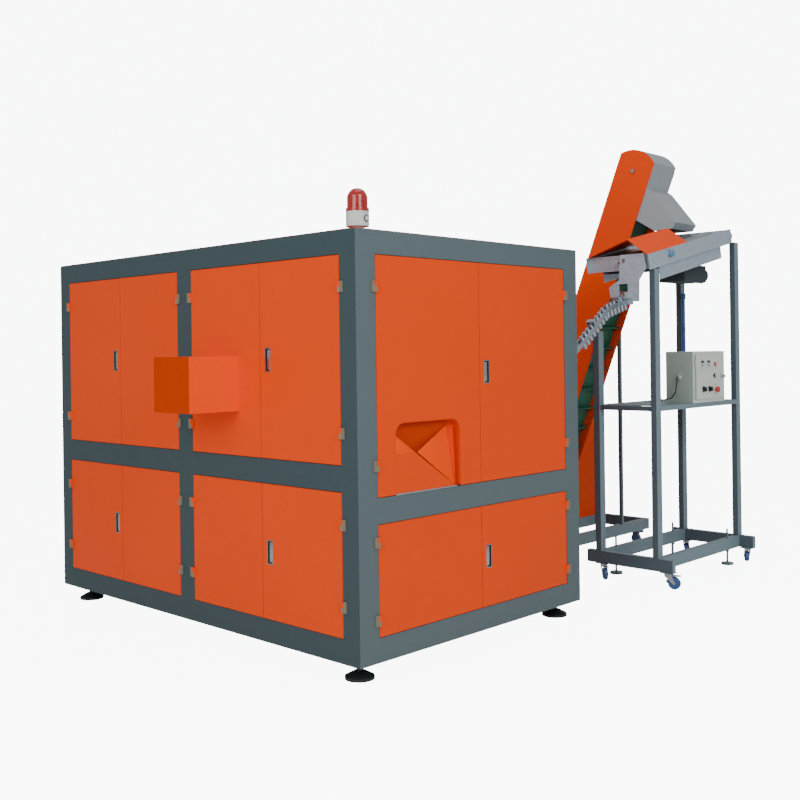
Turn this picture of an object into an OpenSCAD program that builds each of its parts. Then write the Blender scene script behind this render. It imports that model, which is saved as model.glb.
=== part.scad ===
// Two-stage bottle blow moulding machine: a framed cabinet with double doors, a roller sorter for
// preforms on a wheeled stand behind it, and a cleated belt elevator with a floor hopper.
// Millimetres, +Z up, +X along the front to the right, +Y to the rear. The origin is on the floor
// under the levelling foot of the near right corner.

/* [Cabinet] */
// Length of the cabinet frame along the front
cabinet_l = 2690; // [2200:10:3400]
// Width of the cabinet frame along the end
cabinet_w = 1743; // [1500:10:2200]
// Height of the cabinet frame without its feet
cabinet_h = 2000; // [1900:10:2300]
// Frame post, size along the front
post_x = 108; // [80:1:130]
// Frame post, size along the end
post_y = 124; // [80:1:140]
// Width of the middle posts
mid_post = 126; // [80:1:140]
// Height of the top rails
top_rail = 112; // [80:1:130]
// Height of the bottom rails
bottom_rail = 115; // [80:1:130]
// Height of the middle rails
mid_rail = 121; // [80:1:140]
// Underside of the middle rail on the front and rear, above the frame's foot
front_mid_z = 791; // [700:1:900]
// Underside of the middle rail on both ends, above the frame's foot
end_mid_z = 638; // [560:1:800]
// Wall of the frame tubes
tube_wall = 5; // [3:0.5:8]
// Depth of the frame tubes behind the doors
rail_depth = 90; // [70:1:100]
// Sheet thickness of panels, leaves and covers
sheet = 2; // [1.5:0.5:3]

/* [Doors] */
// Gap round a door leaf
door_gap = 3; // [2:0.5:5]
// Depth of a door leaf
leaf_depth = 28; // [20:1:40]
// Front face of a leaf behind the frame's face
leaf_setback = 1; // [0.5:0.5:3]
// Height of a hinge knuckle pair
hinge_h = 52; // [40:1:70]
// Distance from a tall leaf's end to its hinge
hinge_inset = 150; // [90:1:180]
// Distance from a short end leaf's end to its hinge
low_hinge_inset = 82; // [60:1:160]
// Barrel radius of a hinge
hinge_r = 6; // [5:0.5:8]
// Width of the hinge block on the frame
hinge_block = 26; // [20:1:32]
// Width of the hinge block on the leaf
hinge_leaf_block = 12; // [10:1:24]
// Width of a recessed pull
pull_w = 46; // [28:1:60]
// Height of a recessed pull
pull_h = 122; // [100:1:160]
// Depth of a recessed pull
pull_d = 18; // [12:1:24]
// Distance from a pull's middle to the meeting edge
pull_inset = 56; // [40:1:90]

/* [Console and chute] */
// Width of the console box
console_w = 307; // [250:1:350]
// Depth of the console box
console_d = 305; // [200:1:320]
// Height of the console box
console_h = 280; // [200:1:350]
// Width of the bottle outlet pocket
outlet_w = 466; // [380:1:520]
// Height of the bottle outlet pocket
outlet_h = 336; // [260:1:420]
// Depth of the bottle outlet pocket
outlet_d = 50; // [40:1:60]
// Corner radius of the bottle outlet pocket
outlet_r = 60; // [30:1:80]

/* [Feet and beacon] */
// Distance from the right end to the near levelling pads
pad_inset_x = 110; // [80:1:160]
// Distance from the front to the levelling pads
pad_inset_y = 100; // [70:1:120]
// Distance from the left end to the far levelling pads
pad_inset_left = 157; // [110:1:200]
// Height from the floor to the frame
foot_h = 85; // [70:1:120]
// Diameter of a levelling pad
pad_d = 142; // [100:1:160]
// Height of a levelling pad
pad_h = 36; // [25:1:45]
// Diameter of a levelling stud
stud_d = 30; // [20:1:36]
// Diameter of the beacon's base
beacon_d = 108; // [80:1:120]
// Height of the beacon's base
beacon_base_h = 68; // [50:1:90]
// Diameter of the beacon's dome
dome_d = 96; // [70:1:104]
// Height of the beacon's dome
dome_h = 93; // [70:1:110]

/* [Stand] */
// Distance between the post middles along the front
stand_w = 423; // [380:1:520]
// Distance between the post middles to the rear
stand_l = 1094; // [1000:1:1200]
// Post size along the front
stand_post_x = 40; // [30:1:50]
// Post size to the rear
stand_post_y = 60; // [40:1:70]
// Height of the base rails
base_rail_h = 80; // [60:1:90]
// Width of the base rails
base_rail_w = 40; // [30:1:55]
// Height of the middle rails
stand_mid_h = 30; // [20:1:40]
// Top of the middle rails above the floor
shelf_z = 1149; // [1000:1:1250]
// Radius of a caster wheel
wheel_r = 40; // [35:1:45]
// Width of a caster wheel
wheel_w = 28; // [22:1:34]
// Distance from a caster's swivel to its axle
caster_trail = 36; // [25:1:40]
// Height of a caster with its plate
caster_h = 105; // [100:1:115]

/* [Sorter] */
// Length of the sorter trough
trough_l = 1137; // [1110:1:1200]
// Height of the trough's upper side plates
trough_h = 100; // [80:1:130]
// Rise of the trough, share of its length
trough_rise_share = 0.217; // [0.18:0.001:0.25]
// Height of the trough's lower side plates
trough_lower_h = 85; // [60:1:100]
// Radius of a sorter roller
roller_r = 40; // [30:1:45]
// Gap between the sorter rollers
roller_gap = 28; // [20:1:40]
// Sheet thickness of the trough
trough_sheet = 4; // [3:0.5:5]

/* [Control box] */
// Width of the control box
box_w = 441; // [360:1:480]
// Height of the control box
box_h = 345; // [300:1:400]
// Depth of the control box
box_d = 200; // [150:1:250]

/* [Elevator] */
// Lean of the elevator from upright, degrees
elevator_lean = 21.8; // [18:0.1:24]
// Distance between the belt drums
elevator_l = 2630; // [2400:1:2800]
// Depth of the elevator's side plates
elevator_d = 290; // [270:1:320]
// Width of the elevator over its plates
elevator_w = 303; // [280:1:340]
// Rise of the rounded head over its shoulders
head_rise = 57; // [40:1:80]
// Side plate thickness
plate_t = 4; // [3:0.5:6]
// Radius of the belt drums
drum_r = 80; // [60:1:85]
// Thickness of the belt
belt_t = 4; // [3:0.5:5]
// Height of a belt cleat
cleat_h = 45; // [30:1:50]
// Pitch of the belt cleats
cleat_pitch = 164; // [120:1:300]
// Length of the hopper along the front
hopper_l = 950; // [800:1:1100]
// Width of the hopper to the rear
hopper_w = 895; // [700:1:950]
// Height of the hopper
hopper_h = 990; // [800:1:1050]

/* [Hidden] */

$fn = 48;
// One overrun serves every cut
over = 1;
// Radial clearance of a pin or shaft that turns
run_gap = 0.05;
// Clearance between parts that pass each other
pass_gap = 0.5;
// Clearance between parts that only lie near each other
seat_gap = 0.3;

// Two corners of a box, with the smaller values first
module box_between(a, b) translate(a) cube(b - a);

// Everything is drawn from the near right corner of the cabinet's frame
module at_corner() translate([pad_inset_x, -pad_inset_y, foot_h]) children();

function unit(v) = v / norm(v);

// The point beside point i of a strip, with its bend mitred
function beside(points, i, half) =
    let (last = len(points) - 1,
        a = unit(i > 0 ? points[i] - points[i - 1] : points[1] - points[0]),
        b = unit(i < last ? points[i + 1] - points[i] : points[last] - points[last - 1]),
        m = unit(a + b))
    points[i] + half * [-m[1], m[0]] / (m * a);

// A strip of even width along points of a plane, with mitred bends
module strip(points, width) {
    last = len(points) - 1;
    polygon(concat([for (i = [0 : last]) beside(points, i, width / 2)],
        [for (i = [last : -1 : 0]) beside(points, i, -width / 2)]));
}

// The strip in the upright plane that faces +X, drawn as y and z and spread over x
module side_strip(points, width, x_from, x_to)
    translate([x_from, 0, 0])
    rotate([90, 0, 90])
    linear_extrude(x_to - x_from)
    strip(points, width);

// A plate in the upright plane that faces -Y, drawn as x and z, from y_from to the rear
module front_plate(y_from, thickness)
    translate([0, y_from + thickness, 0])
    rotate([90, 0, 0])
    linear_extrude(thickness)
    children();

// A hose or lead of one thickness with round bends, each a little fuller than the hose
bend_share = 1.06;

module hose(points, d) {
    for (i = [0 : len(points) - 2]) {
        step = points[i + 1] - points[i];
        flat = norm([step[0], step[1]]);
        translate(points[i])
        rotate([0, atan2(flat, step[2]), atan2(step[1], step[0])])
        cylinder(d = d, h = norm(step));
    }
    for (p = points)
        translate(p)
        sphere(d = d * bend_share);
}

// Cabinet frame, panels, bed and feet
frame_h = cabinet_h - sheet;
foot_rail_depth = 160;
bay = (cabinet_l - 2 * post_x - mid_post) / 2;
mid_x = -post_x - bay - mid_post;
front_levels = [[0, bottom_rail, foot_rail_depth], [front_mid_z, mid_rail, rail_depth],
    [frame_h - top_rail, top_rail, rail_depth]];
end_levels = [[0, bottom_rail, foot_rail_depth], [end_mid_z, mid_rail, rail_depth],
    [frame_h - top_rail, top_rail, rail_depth]];
pad_places = [[-pad_inset_x, pad_inset_y], [-pad_inset_x, cabinet_w - pad_inset_y],
    [-cabinet_l + pad_inset_left, pad_inset_y],
    [-cabinet_l + pad_inset_left, cabinet_w - pad_inset_y]];

// The bars of the frame, each drawn in by t on every side
module frame_bars(t) {
    for (x = [-cabinet_l, -post_x], y = [0, cabinet_w - post_y])
        box_between([x + t, y + t, t], [x + post_x - t, y + post_y - t, frame_h - t]);
    for (y = [0, cabinet_w - rail_depth])
        box_between([mid_x + t, y + t, t],
            [mid_x + mid_post - t, y + rail_depth - t, frame_h - t]);
    for (level = front_levels, y = [0, cabinet_w - level[2]])
        box_between([-cabinet_l + t, y + t, level[0] + t],
            [-t, y + level[2] - t, level[0] + level[1] - t]);
    for (level = end_levels, x = [-cabinet_l, -level[2]])
        box_between([x + t, t, level[0] + t],
            [x + level[2] - t, cabinet_w - t, level[0] + level[1] - t]);
}

module cabinet_frame()
    color("#586669")
    at_corner()
    difference() {
        frame_bars(0);
        frame_bars(tube_wall);
        for (p = pad_places)
            translate([p[0], p[1], -over])
            cylinder(d = stud_d + 2 * pass_gap, h = tube_wall + 2 * over);
    }

panel_lap = 25;
panel_edge = 12;
screw_d = 14;
screw_head_h = 4;
infeed_x = -195;
infeed_open_w = 118;
infeed_open_z = 1150;
infeed_open_h = 210;
vent_w = 260;
vent_h = 10;
vent_pitch = 30;
vent_rows = 8;
vent_rise = 120;
air_inlet_r = 11;
air_inlet_x = -600;
air_inlet_z = 330;
air_inlet_pitch = 60;

// One screwed panel, drawn in the plane of x and z with its outer face at -y
module screwed_panel(w, h) {
    difference() {
        box_between([0, -sheet, 0], [w, 0, h]);
        children();
    }
    for (x = [panel_edge, w / 2, w - panel_edge], z = [panel_edge, h / 2, h - panel_edge])
        if (x != w / 2 || z != h / 2)
            translate([x, -sheet, z])
            rotate([90, 0, 0])
            cylinder(d = screw_d, h = screw_head_h);
}

module vents(x, z)
    for (i = [0 : vent_rows - 1])
        box_between([x, -sheet - over, z + i * vent_pitch],
            [x + vent_w, over, z + i * vent_pitch + vent_h]);

module rear_panel(first_x, z_from, z_to)
    translate([first_x + bay + panel_lap, cabinet_w, z_from - panel_lap])
    rotate(180)
    screwed_panel(bay + 2 * panel_lap, z_to - z_from + 2 * panel_lap)
        children();

end_bay = cabinet_w - 2 * post_y;

module left_panel(z_from, z_to)
    translate([-cabinet_l, cabinet_w - post_y + panel_lap, z_from - panel_lap])
    rotate(-90)
    screwed_panel(end_bay + 2 * panel_lap, z_to - z_from + 2 * panel_lap)
        children();

upper_z = front_mid_z + mid_rail;
end_upper_z = end_mid_z + mid_rail;
doors_top = frame_h - top_rail;

module cabinet_panels()
    color("#d35219")
    at_corner() {
        box_between([-cabinet_l, 0, frame_h], [0, cabinet_w, cabinet_h]);
        for (z = [[bottom_rail, front_mid_z], [upper_z, doors_top]])
            rear_panel(mid_x - bay, z[0], z[1])
                vents(bay / 2 - vent_w / 2, vent_rise);
        rear_panel(-post_x - bay, bottom_rail, front_mid_z)
            for (i = [0 : 2])
                translate([-air_inlet_x - post_x + panel_lap + i * air_inlet_pitch,
                    over, air_inlet_z - bottom_rail + panel_lap])
                rotate([90, 0, 0])
                cylinder(r = air_inlet_r, h = sheet + 2 * over);
        rear_panel(-post_x - bay, upper_z, doors_top)
            translate([-infeed_x - post_x + panel_lap - infeed_open_w / 2,
                0, infeed_open_z - upper_z + panel_lap])
            box_between([0, -sheet - over, 0], [infeed_open_w, over, infeed_open_h]);
        for (z = [[bottom_rail, end_mid_z], [end_upper_z, doors_top]])
            left_panel(z[0], z[1])
                vents(end_bay / 2 - vent_w / 2, vent_rise);
    }

stud_top = 40;
stud_seat = 12;
nut_h = 18;
nut_d = 52;
pad_boss_d = 60;
pad_rim = 14;

module levelling_feet()
    color("#8a9095")
    at_corner()
    for (p = pad_places)
        translate([p[0], p[1], -foot_h]) {
            difference() {
                union() {
                    cylinder(d = pad_d, h = pad_rim);
                    translate([0, 0, pad_rim])
                    cylinder(d1 = pad_d, d2 = pad_boss_d, h = pad_h - pad_rim);
                }
                translate([0, 0, pad_h - stud_seat])
                cylinder(d = stud_d + 2 * seat_gap, h = stud_seat + over);
            }
            translate([0, 0, pad_h - stud_seat])
            cylinder(d = stud_d, h = foot_h + stud_top - pad_h + stud_seat);
            translate([0, 0, foot_h - nut_h])
            difference() {
                cylinder(d = nut_d, h = nut_h, $fn = 6);
                translate([0, 0, -over])
                cylinder(d = stud_d + 2 * run_gap, h = nut_h + 2 * over);
            }
        }

// Bed inside the cabinet: plate, legs, table, clamp tower and carousel spindle
bed_t = 20;
bed_gap = 1;
bed_top = bottom_rail + bed_t;
leg = 80;
leg_y = 200;
table_z = 700;
table_t = 25;
table_top = table_z + table_t;
table_inset = 165;
tower_x = -1150;
tower_l = 900;
tower_y = 600;
tower_w = 540;
tower_h = 775;
platen_t = 50;
tie_r = 25;
tie_inset = 50;
bridge_w = 400;
bridge_t = 20;
tower_top = table_top + tower_h;
tower_mid_y = tower_y + tower_w / 2;
parting_x = tower_x + tower_l / 2;
tie_y = [tower_y + tie_inset, tower_y + tower_w - tie_inset];
tie_z = [table_top + 2 * tie_inset, tower_top - 2 * tie_inset];
rod_r = 6;
rod_pitch = 150;
guide_r = 15;
guide_x = 110;
guide_h = 290;
spindle_r = 25;
carousel_x = -1950;
carousel_y = 870;
carousel_z = 940;
carousel_t = 20;
carousel_r = 430;
spindle_rest_r = 60;

module machine_bed()
    color("#9aa2a6")
    at_corner() {
        difference() {
            union() {
                box_between([-cabinet_l + post_x + bed_gap, rail_depth + bed_gap, bottom_rail],
                    [-post_x - bed_gap, cabinet_w - rail_depth - bed_gap, bed_top]);
                for (x = [-cabinet_l + leg_y, mid_x + mid_post / 2 - leg / 2, -leg_y - leg],
                    y = [leg_y, cabinet_w - leg_y - leg])
                    box_between([x, y, bed_top], [x + leg, y + leg, table_z]);
                box_between([-cabinet_l + table_inset, table_inset, table_z],
                    [-table_inset, cabinet_w - table_inset, table_top]);
                for (x = [tower_x, tower_x + tower_l - platen_t])
                    box_between([x, tower_y, table_top],
                        [x + platen_t, tower_y + tower_w, tower_top]);
                for (y = tie_y, z = tie_z)
                    translate([tower_x, y, z])
                    rotate([0, 90, 0])
                    cylinder(r = tie_r, h = tower_l);
                box_between([tower_x, tower_mid_y - bridge_w / 2, tower_top],
                    [tower_x + tower_l, tower_mid_y + bridge_w / 2, tower_top + bridge_t]);
                for (side = [-1, 1])
                    translate([parting_x + side * guide_x, tower_mid_y, tower_top])
                    cylinder(r = guide_r, h = bridge_t + guide_h);
                translate([carousel_x, carousel_y, table_top]) {
                    cylinder(r = spindle_rest_r, h = carousel_z - table_top - pass_gap);
                    cylinder(r = spindle_r, h = carousel_z + 2 * carousel_t - table_top);
                }
            }
            for (i = [-1 : 1])
                translate([parting_x, tower_mid_y + i * rod_pitch, tower_top - over])
                cylinder(r = rod_r + pass_gap, h = bridge_t + 2 * over);
        }
    }

mould_t = 190;
mould_gap = 1;
mould_inset = 10;
mould_drop = 40;
bottle_r = 42;
bottle_h = 230;
bottle_shoulder = 60;
neck_r = 14;
mould_top = tower_top - mould_drop;

// The bottle's hollow, from its base to past the mould's top
module bottle_hollow()
    translate([0, 0, mould_top - bottle_h - bottle_shoulder])
    rotate_extrude()
    polygon([[0, 0], [bottle_r, 0], [bottle_r, bottle_h - bottle_shoulder],
        [neck_r, bottle_h], [neck_r, bottle_h + bottle_shoulder + over],
        [0, bottle_h + bottle_shoulder + over]]);

module mould_half(side)
    color("#a9b0b4")
    at_corner()
    difference() {
        translate([parting_x, 0, 0])
        mirror([side < 0 ? 1 : 0, 0, 0])
        box_between([mould_gap / 2, tower_y + mould_inset, table_top + mould_drop],
            [mould_t, tower_y + tower_w - mould_inset, mould_top]);
        for (y = tie_y, z = tie_z)
            translate([tower_x, y, z])
            rotate([0, 90, 0])
            cylinder(r = tie_r + run_gap, h = tower_l);
        for (i = [-1 : 1])
            translate([parting_x, tower_mid_y + i * rod_pitch, 0])
            bottle_hollow();
    }

rod_clear = 10;
crosshead_w = 320;
crosshead_d = 360;
crosshead_t = 30;
crosshead_rise = 220;
crosshead_z = tower_top + bridge_t + crosshead_rise;

module stretch_rods()
    color("#b5babd")
    at_corner()
    difference() {
        union() {
            for (i = [-1 : 1])
                translate([parting_x, tower_mid_y + i * rod_pitch, mould_top + rod_clear])
                cylinder(r = rod_r, h = crosshead_z - mould_top - rod_clear + crosshead_t);
            box_between([parting_x - crosshead_w / 2, tower_mid_y - crosshead_d / 2, crosshead_z],
                [parting_x + crosshead_w / 2, tower_mid_y + crosshead_d / 2,
                crosshead_z + crosshead_t]);
        }
        for (side = [-1, 1])
            translate([parting_x + side * guide_x, tower_mid_y, crosshead_z - over])
            cylinder(r = guide_r + run_gap, h = crosshead_t + 2 * over);
    }

mandrel_r = 11;
mandrel_h = 60;
mandrel_ring_r = 400;
mandrels = 24;

module preform_carousel()
    color("#8d959a")
    at_corner()
    translate([carousel_x, carousel_y, carousel_z])
    difference() {
        union() {
            cylinder(r = carousel_r, h = carousel_t, $fn = 96);
            for (i = [0 : mandrels - 1])
                rotate(i * 360 / mandrels)
                translate([mandrel_ring_r, 0, 0])
                cylinder(r = mandrel_r, h = carousel_t + mandrel_h);
        }
        translate([0, 0, -over])
        cylinder(r = spindle_r + run_gap, h = carousel_t + 2 * over);
    }

oven_angle = 200;
oven_start = 80;
oven_in_r = 340;
oven_out_r = 480;
oven_wall = 10;
oven_top = 1120;
oven_clear = 15;
lamp_r = 8;
lamps = 4;
lamp_pitch = 30;
lamp_z = 1000;
lamp_sink = 1;

module oven_housing()
    color("#c9cdd0")
    at_corner()
    translate([carousel_x, carousel_y, 0])
    rotate(oven_start)
    rotate_extrude(angle = oven_angle, $fn = 96) {
        translate([oven_out_r - oven_wall, table_top])
        square([oven_wall, oven_top - table_top]);
        translate([oven_in_r, oven_top - oven_wall])
        square([oven_out_r - oven_in_r, oven_wall]);
        translate([oven_in_r, carousel_z + carousel_t + oven_clear])
        square([oven_wall, oven_top - carousel_z - carousel_t - oven_clear]);
        for (i = [0 : lamps - 1])
            translate([oven_out_r - oven_wall - lamp_r + lamp_sink, lamp_z + i * lamp_pitch])
            circle(r = lamp_r);
    }

switch_x = -2300;
switch_y = 300;
switch_l = 700;
switch_w = 300;
switch_h = 500;
switch_door_t = 3;
switch_rail_h = 35;
switch_rails = 3;
drive_w = 90;
drive_h = 80;
drive_d = 110;
drives = 5;

// Switch cabinet with its door, mounting rails and drives
module electrical_cabinet()
    color("#c4c8c4")
    at_corner()
    translate([switch_x, switch_y, bed_top]) {
        difference() {
            cube([switch_l, switch_w, switch_h]);
            box_between([sheet, -over, sheet],
                [switch_l - sheet, switch_w - sheet, switch_h - sheet]);
        }
        box_between([0, -switch_door_t, 0], [switch_l, 0, switch_h]);
        for (i = [1 : switch_rails]) {
            z = i * switch_h / (switch_rails + 1);
            box_between([sheet, switch_w - 2 * sheet, z - switch_rail_h / 2],
                [switch_l - sheet, switch_w - sheet, z + switch_rail_h / 2]);
            for (k = [1 : drives])
                translate([k * switch_l / (drives + 1), switch_w - 2 * sheet, z])
                box_between([-drive_w / 2, -drive_d, -drive_h / 2], [drive_w / 2, 0, drive_h / 2]);
        }
    }

// Doors and their hinges, drawn with the hinge edge at x = 0, the leaf to +x and the outside at -y
leaf_w = (bay - door_gap) / 2;
end_leaf_w = (end_bay - door_gap) / 2;
hinge_off = hinge_r + leaf_setback;
hinge_pin_r = 3;
hinge_plate_t = 8;
knuckle_gap = 0.2;
barrel_side_gap = 1;

module frame_hinge()
    translate([0, 0, -hinge_h / 2]) {
        translate([0, -hinge_off, 0])
        cylinder(r = hinge_r, h = hinge_h / 2);
        box_between([-hinge_block, -hinge_plate_t, 0], [0, 0, hinge_h / 2]);
        box_between([-hinge_block, -hinge_plate_t, hinge_h / 2],
            [-hinge_r - barrel_side_gap, 0, hinge_h]);
        translate([0, -hinge_off, 0])
        cylinder(r = hinge_pin_r, h = hinge_h);
    }

module leaf_hinge()
    translate([0, 0, -hinge_h / 2])
    difference() {
        union() {
            translate([0, -hinge_off, hinge_h / 2 + knuckle_gap])
            cylinder(r = hinge_r, h = hinge_h / 2 - knuckle_gap);
            box_between([0, -hinge_plate_t, hinge_h / 2 + knuckle_gap],
                [door_gap + hinge_r, -barrel_side_gap, hinge_h]);
            box_between([hinge_r + barrel_side_gap, -hinge_plate_t, 0],
                [hinge_leaf_block + hinge_r, leaf_setback, hinge_h]);
        }
        translate([0, -hinge_off, 0])
        cylinder(r = hinge_pin_r + run_gap, h = hinge_h + over);
    }

// The pressed pull sits near the meeting edge; size is [width, height] of the leaf's opening
module leaf(w, h, pull_z, inset, pulled) {
    face = leaf_setback;
    pull_x = w - pull_inset;
    difference() {
        union() {
            difference() {
                box_between([door_gap, face, door_gap], [w, face + leaf_depth, h - door_gap]);
                box_between([door_gap + sheet, face + sheet, door_gap + sheet],
                    [w - sheet, face + leaf_depth + over, h - door_gap - sheet]);
            }
            if (pulled)
                box_between([pull_x - pull_w / 2 - sheet, face, pull_z - pull_h / 2 - sheet],
                    [pull_x + pull_w / 2 + sheet, face + pull_d + sheet,
                    pull_z + pull_h / 2 + sheet]);
        }
        if (pulled)
            box_between([pull_x - pull_w / 2, face - over, pull_z - pull_h / 2],
                [pull_x + pull_w / 2, face + pull_d, pull_z + pull_h / 2]);
        children();
    }
    for (z = [inset, h - inset])
        translate([0, 0, z])
        leaf_hinge();
}

front_upper_pull_z = 1402;
front_lower_pull_z = 450;
end_upper_pull_z = 1325;
end_lower_pull_z = 374;
front_rows = [[upper_z, doors_top, front_upper_pull_z, hinge_inset],
    [bottom_rail, front_mid_z, front_lower_pull_z, hinge_inset]];
end_rows = [[end_upper_z, doors_top, end_upper_pull_z, hinge_inset],
    [bottom_rail, end_mid_z, end_lower_pull_z, low_hinge_inset]];
// Hinge edges of the front leaves from left to right, and the way each leaf runs from its edge
front_edges = [[mid_x - bay, 1], [mid_x, -1], [mid_x + mid_post, 1], [-post_x, -1]];
end_edges = [[post_y, 1], [cabinet_w - post_y, -1]];

module front_place(i)
    translate([front_edges[i][0], 0, 0])
    mirror([front_edges[i][1] < 0 ? 1 : 0, 0, 0])
    children();

module end_place(i)
    translate([0, end_edges[i][0], 0])
    rotate(90)
    mirror([end_edges[i][1] < 0 ? 1 : 0, 0, 0])
    children();

module front_door(i, row)
    color("#d35219")
    at_corner()
    front_place(i)
    translate([0, 0, row[0]])
    leaf(leaf_w, row[1] - row[0], row[2] - row[0], row[3], i == 0 || i == 3);

module end_door(i, row)
    color("#eb550c")
    at_corner()
    end_place(i)
    translate([0, 0, row[0]])
    leaf(end_leaf_w, row[1] - row[0], row[2] - row[0], row[3], i == 1)
        children();

module hinge_frame_leaves()
    color("#ab9d83")
    at_corner() {
        for (i = [0 : 3], row = front_rows, z = [row[0] + row[3], row[1] - row[3]])
            front_place(i)
            translate([0, 0, z])
            frame_hinge();
        for (i = [0 : 1], row = end_rows, z = [row[0] + row[3], row[1] - row[3]])
            end_place(i)
            translate([0, 0, z])
            frame_hinge();
    }

// Outlet pocket in the near upper end leaf
outlet_edge = 122;
outlet_frame_gap = 0.5;

module outlet_shape(grow)
    translate([-grow, 0]) {
        square([outlet_w + 2 * grow, outlet_h - outlet_r]);
        translate([outlet_r, 0])
        square([outlet_w + 2 * grow - 2 * outlet_r, outlet_h + grow]);
        for (x = [outlet_r, outlet_w + 2 * grow - outlet_r])
            translate([x, outlet_h + grow - outlet_r])
            circle(r = outlet_r);
    }

module outlet_block(grow, d_from, d_to)
    translate([outlet_edge, d_to, door_gap])
    rotate([90, 0, 0])
    linear_extrude(d_to - d_from)
    outlet_shape(grow);

module end_door_upper_1()
    end_door(0, end_rows[0])
        translate([0, 0, -door_gap - over])
        outlet_opening();

// The leaf's opening runs out through its lower edge
module outlet_opening()
    union() {
        outlet_block(outlet_frame_gap, -over, leaf_depth + 2 * over);
        translate([0, 0, over + door_gap])
        outlet_block(outlet_frame_gap, -over, leaf_depth + 2 * over);
    }

outlet_drop_share = 0.83;
outlet_run_share = 0.92;
outlet_high_shares = [0.88, 0.91];

module outlet_chute()
    color("#d35219")
    at_corner()
    end_place(0)
    translate([0, leaf_setback, end_upper_z]) {
        difference() {
            outlet_block(0, 0, outlet_d);
            translate([outlet_edge + sheet, outlet_d - sheet, door_gap + sheet])
            rotate([90, 0, 0])
            linear_extrude(outlet_d + over)
            outlet_inside();
        }
        // Flush plate below the slanting edge
        translate([outlet_edge, 0, door_gap])
        rotate([90, 0, 0])
        translate([0, 0, -sheet])
        linear_extrude(sheet)
        polygon([[0, 0], [outlet_w * outlet_run_share, 0], [0, outlet_h * outlet_drop_share]]);
        // Sloping slide inside the pocket
        translate([outlet_edge, 0, door_gap])
        rotate([90, 0, 0])
        translate([0, 0, -outlet_d + sheet])
        linear_extrude(outlet_d - 2 * sheet - pass_gap)
        polygon([[outlet_w * outlet_run_share, sheet],
            [outlet_w * outlet_high_shares[0], outlet_h * outlet_high_shares[1]],
            [outlet_w * outlet_high_shares[0] - sheet, outlet_h * outlet_high_shares[1]],
            [outlet_w * outlet_run_share - 2 * sheet, sheet]]);
    }

module outlet_inside() {
    w = outlet_w - 2 * sheet;
    h = outlet_h - 2 * sheet;
    r = outlet_r - sheet;
    square([w, h - r]);
    translate([r, 0])
    square([w - 2 * r, h]);
    for (x = [r, w - r])
        translate([x, h - r])
        circle(r = r);
}

// Console box on the third upper leaf
console_x = -1175;
console_z = 1142;

module console_box()
    color("#bf4a14")
    at_corner()
    translate([console_x, leaf_setback - console_d, console_z])
    difference() {
        cube([console_w, console_d, console_h]);
        box_between([sheet, sheet, sheet], [console_w - sheet, console_d + over, console_h - sheet]);
    }

// Beacon on the near corner
beacon_x = -56;
beacon_y = 72;
beacon_neck_d = 59;
beacon_neck_h = 12;
lens_flange_h = 17;
lens_wall = 3;
lamp_post_r = 8;
lamp_post_h = 45;
socket_r = 14;
socket_d = 8;
reflector_r = 34;
reflector_h = 40;
reflector_wall = 2;
beacon_top = beacon_neck_h + beacon_base_h;

module at_beacon() at_corner() translate([beacon_x, beacon_y, cabinet_h]) children();

module beacon_base()
    color("#c9cfca")
    at_beacon() {
        cylinder(d = beacon_neck_d, h = beacon_neck_h);
        translate([0, 0, beacon_neck_h])
        cylinder(d = beacon_d, h = beacon_base_h);
        translate([0, 0, beacon_top])
        cylinder(r = lamp_post_r, h = lamp_post_h);
        translate([0, 0, beacon_neck_h + beacon_base_h / 2])
        rotate([0, 90, 0])
        cylinder(r = socket_r, h = beacon_d / 2 + socket_d);
    }

module dome_solid(r, h) {
    cylinder(r = r, h = h - r);
    translate([0, 0, h - r])
    difference() {
        sphere(r = r);
        translate([0, 0, -r])
        cube(2 * r, center = true);
    }
}

module beacon_lens()
    color("#c8281c", 0.6)
    at_beacon()
    translate([0, 0, beacon_top])
    difference() {
        union() {
            cylinder(d = beacon_d, h = lens_flange_h);
            dome_solid(dome_d / 2, lens_flange_h + dome_h);
        }
        translate([0, 0, -over])
        dome_solid(dome_d / 2 - lens_wall, lens_flange_h + dome_h - lens_wall + over);
    }

module beacon_reflector()
    color("#c9ced1")
    at_beacon()
    translate([0, 0, beacon_top + pass_gap])
    difference() {
        union() {
            cylinder(r = reflector_r, h = 2 * reflector_wall);
            rotate_extrude(angle = 180)
            translate([reflector_r - reflector_wall, 0])
            square([reflector_wall, reflector_h]);
        }
        translate([0, 0, -over])
        cylinder(r = lamp_post_r + run_gap, h = reflector_h);
    }

// Stand behind the cabinet with its swivel casters
stand_x = -445;
stand_y = 2643;
stand_tube = 3;
stand_lap_left = 88;
stand_lap_right = 120;
short_post_z = 1550;
rail_z = caster_h - foot_h;
stand_right_x = stand_x + stand_w;
stand_rear_y = stand_y + stand_l;
shelf_t = 2;
shelf_top = shelf_z - foot_h;
foot_stud_d = 14;
foot_pad_d = 85;
foot_pad_h = 14;
foot_above = 65;
foot_along_shares = [0.166, 0.857];
caster_plate = 86;
caster_plate_w = 74;
caster_plate_t = 4;
kingpin_r = 6;
// Swivel axes over the length of a base rail, and their trail directions
caster_along = [-425, 52];
caster_turns = [[0, 0, -45], [1, 0, 15], [1, 1, 125], [0, 1, 110]];

// Trough values that the stand and the rails share
trough_y = 2561;
trough_front_z = 1927;
trough_right = -2;
trough_left = -465;
slope = atan(trough_rise_share);

function trough_under(y) = trough_front_z + trough_rise_share * (y - trough_y);

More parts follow.
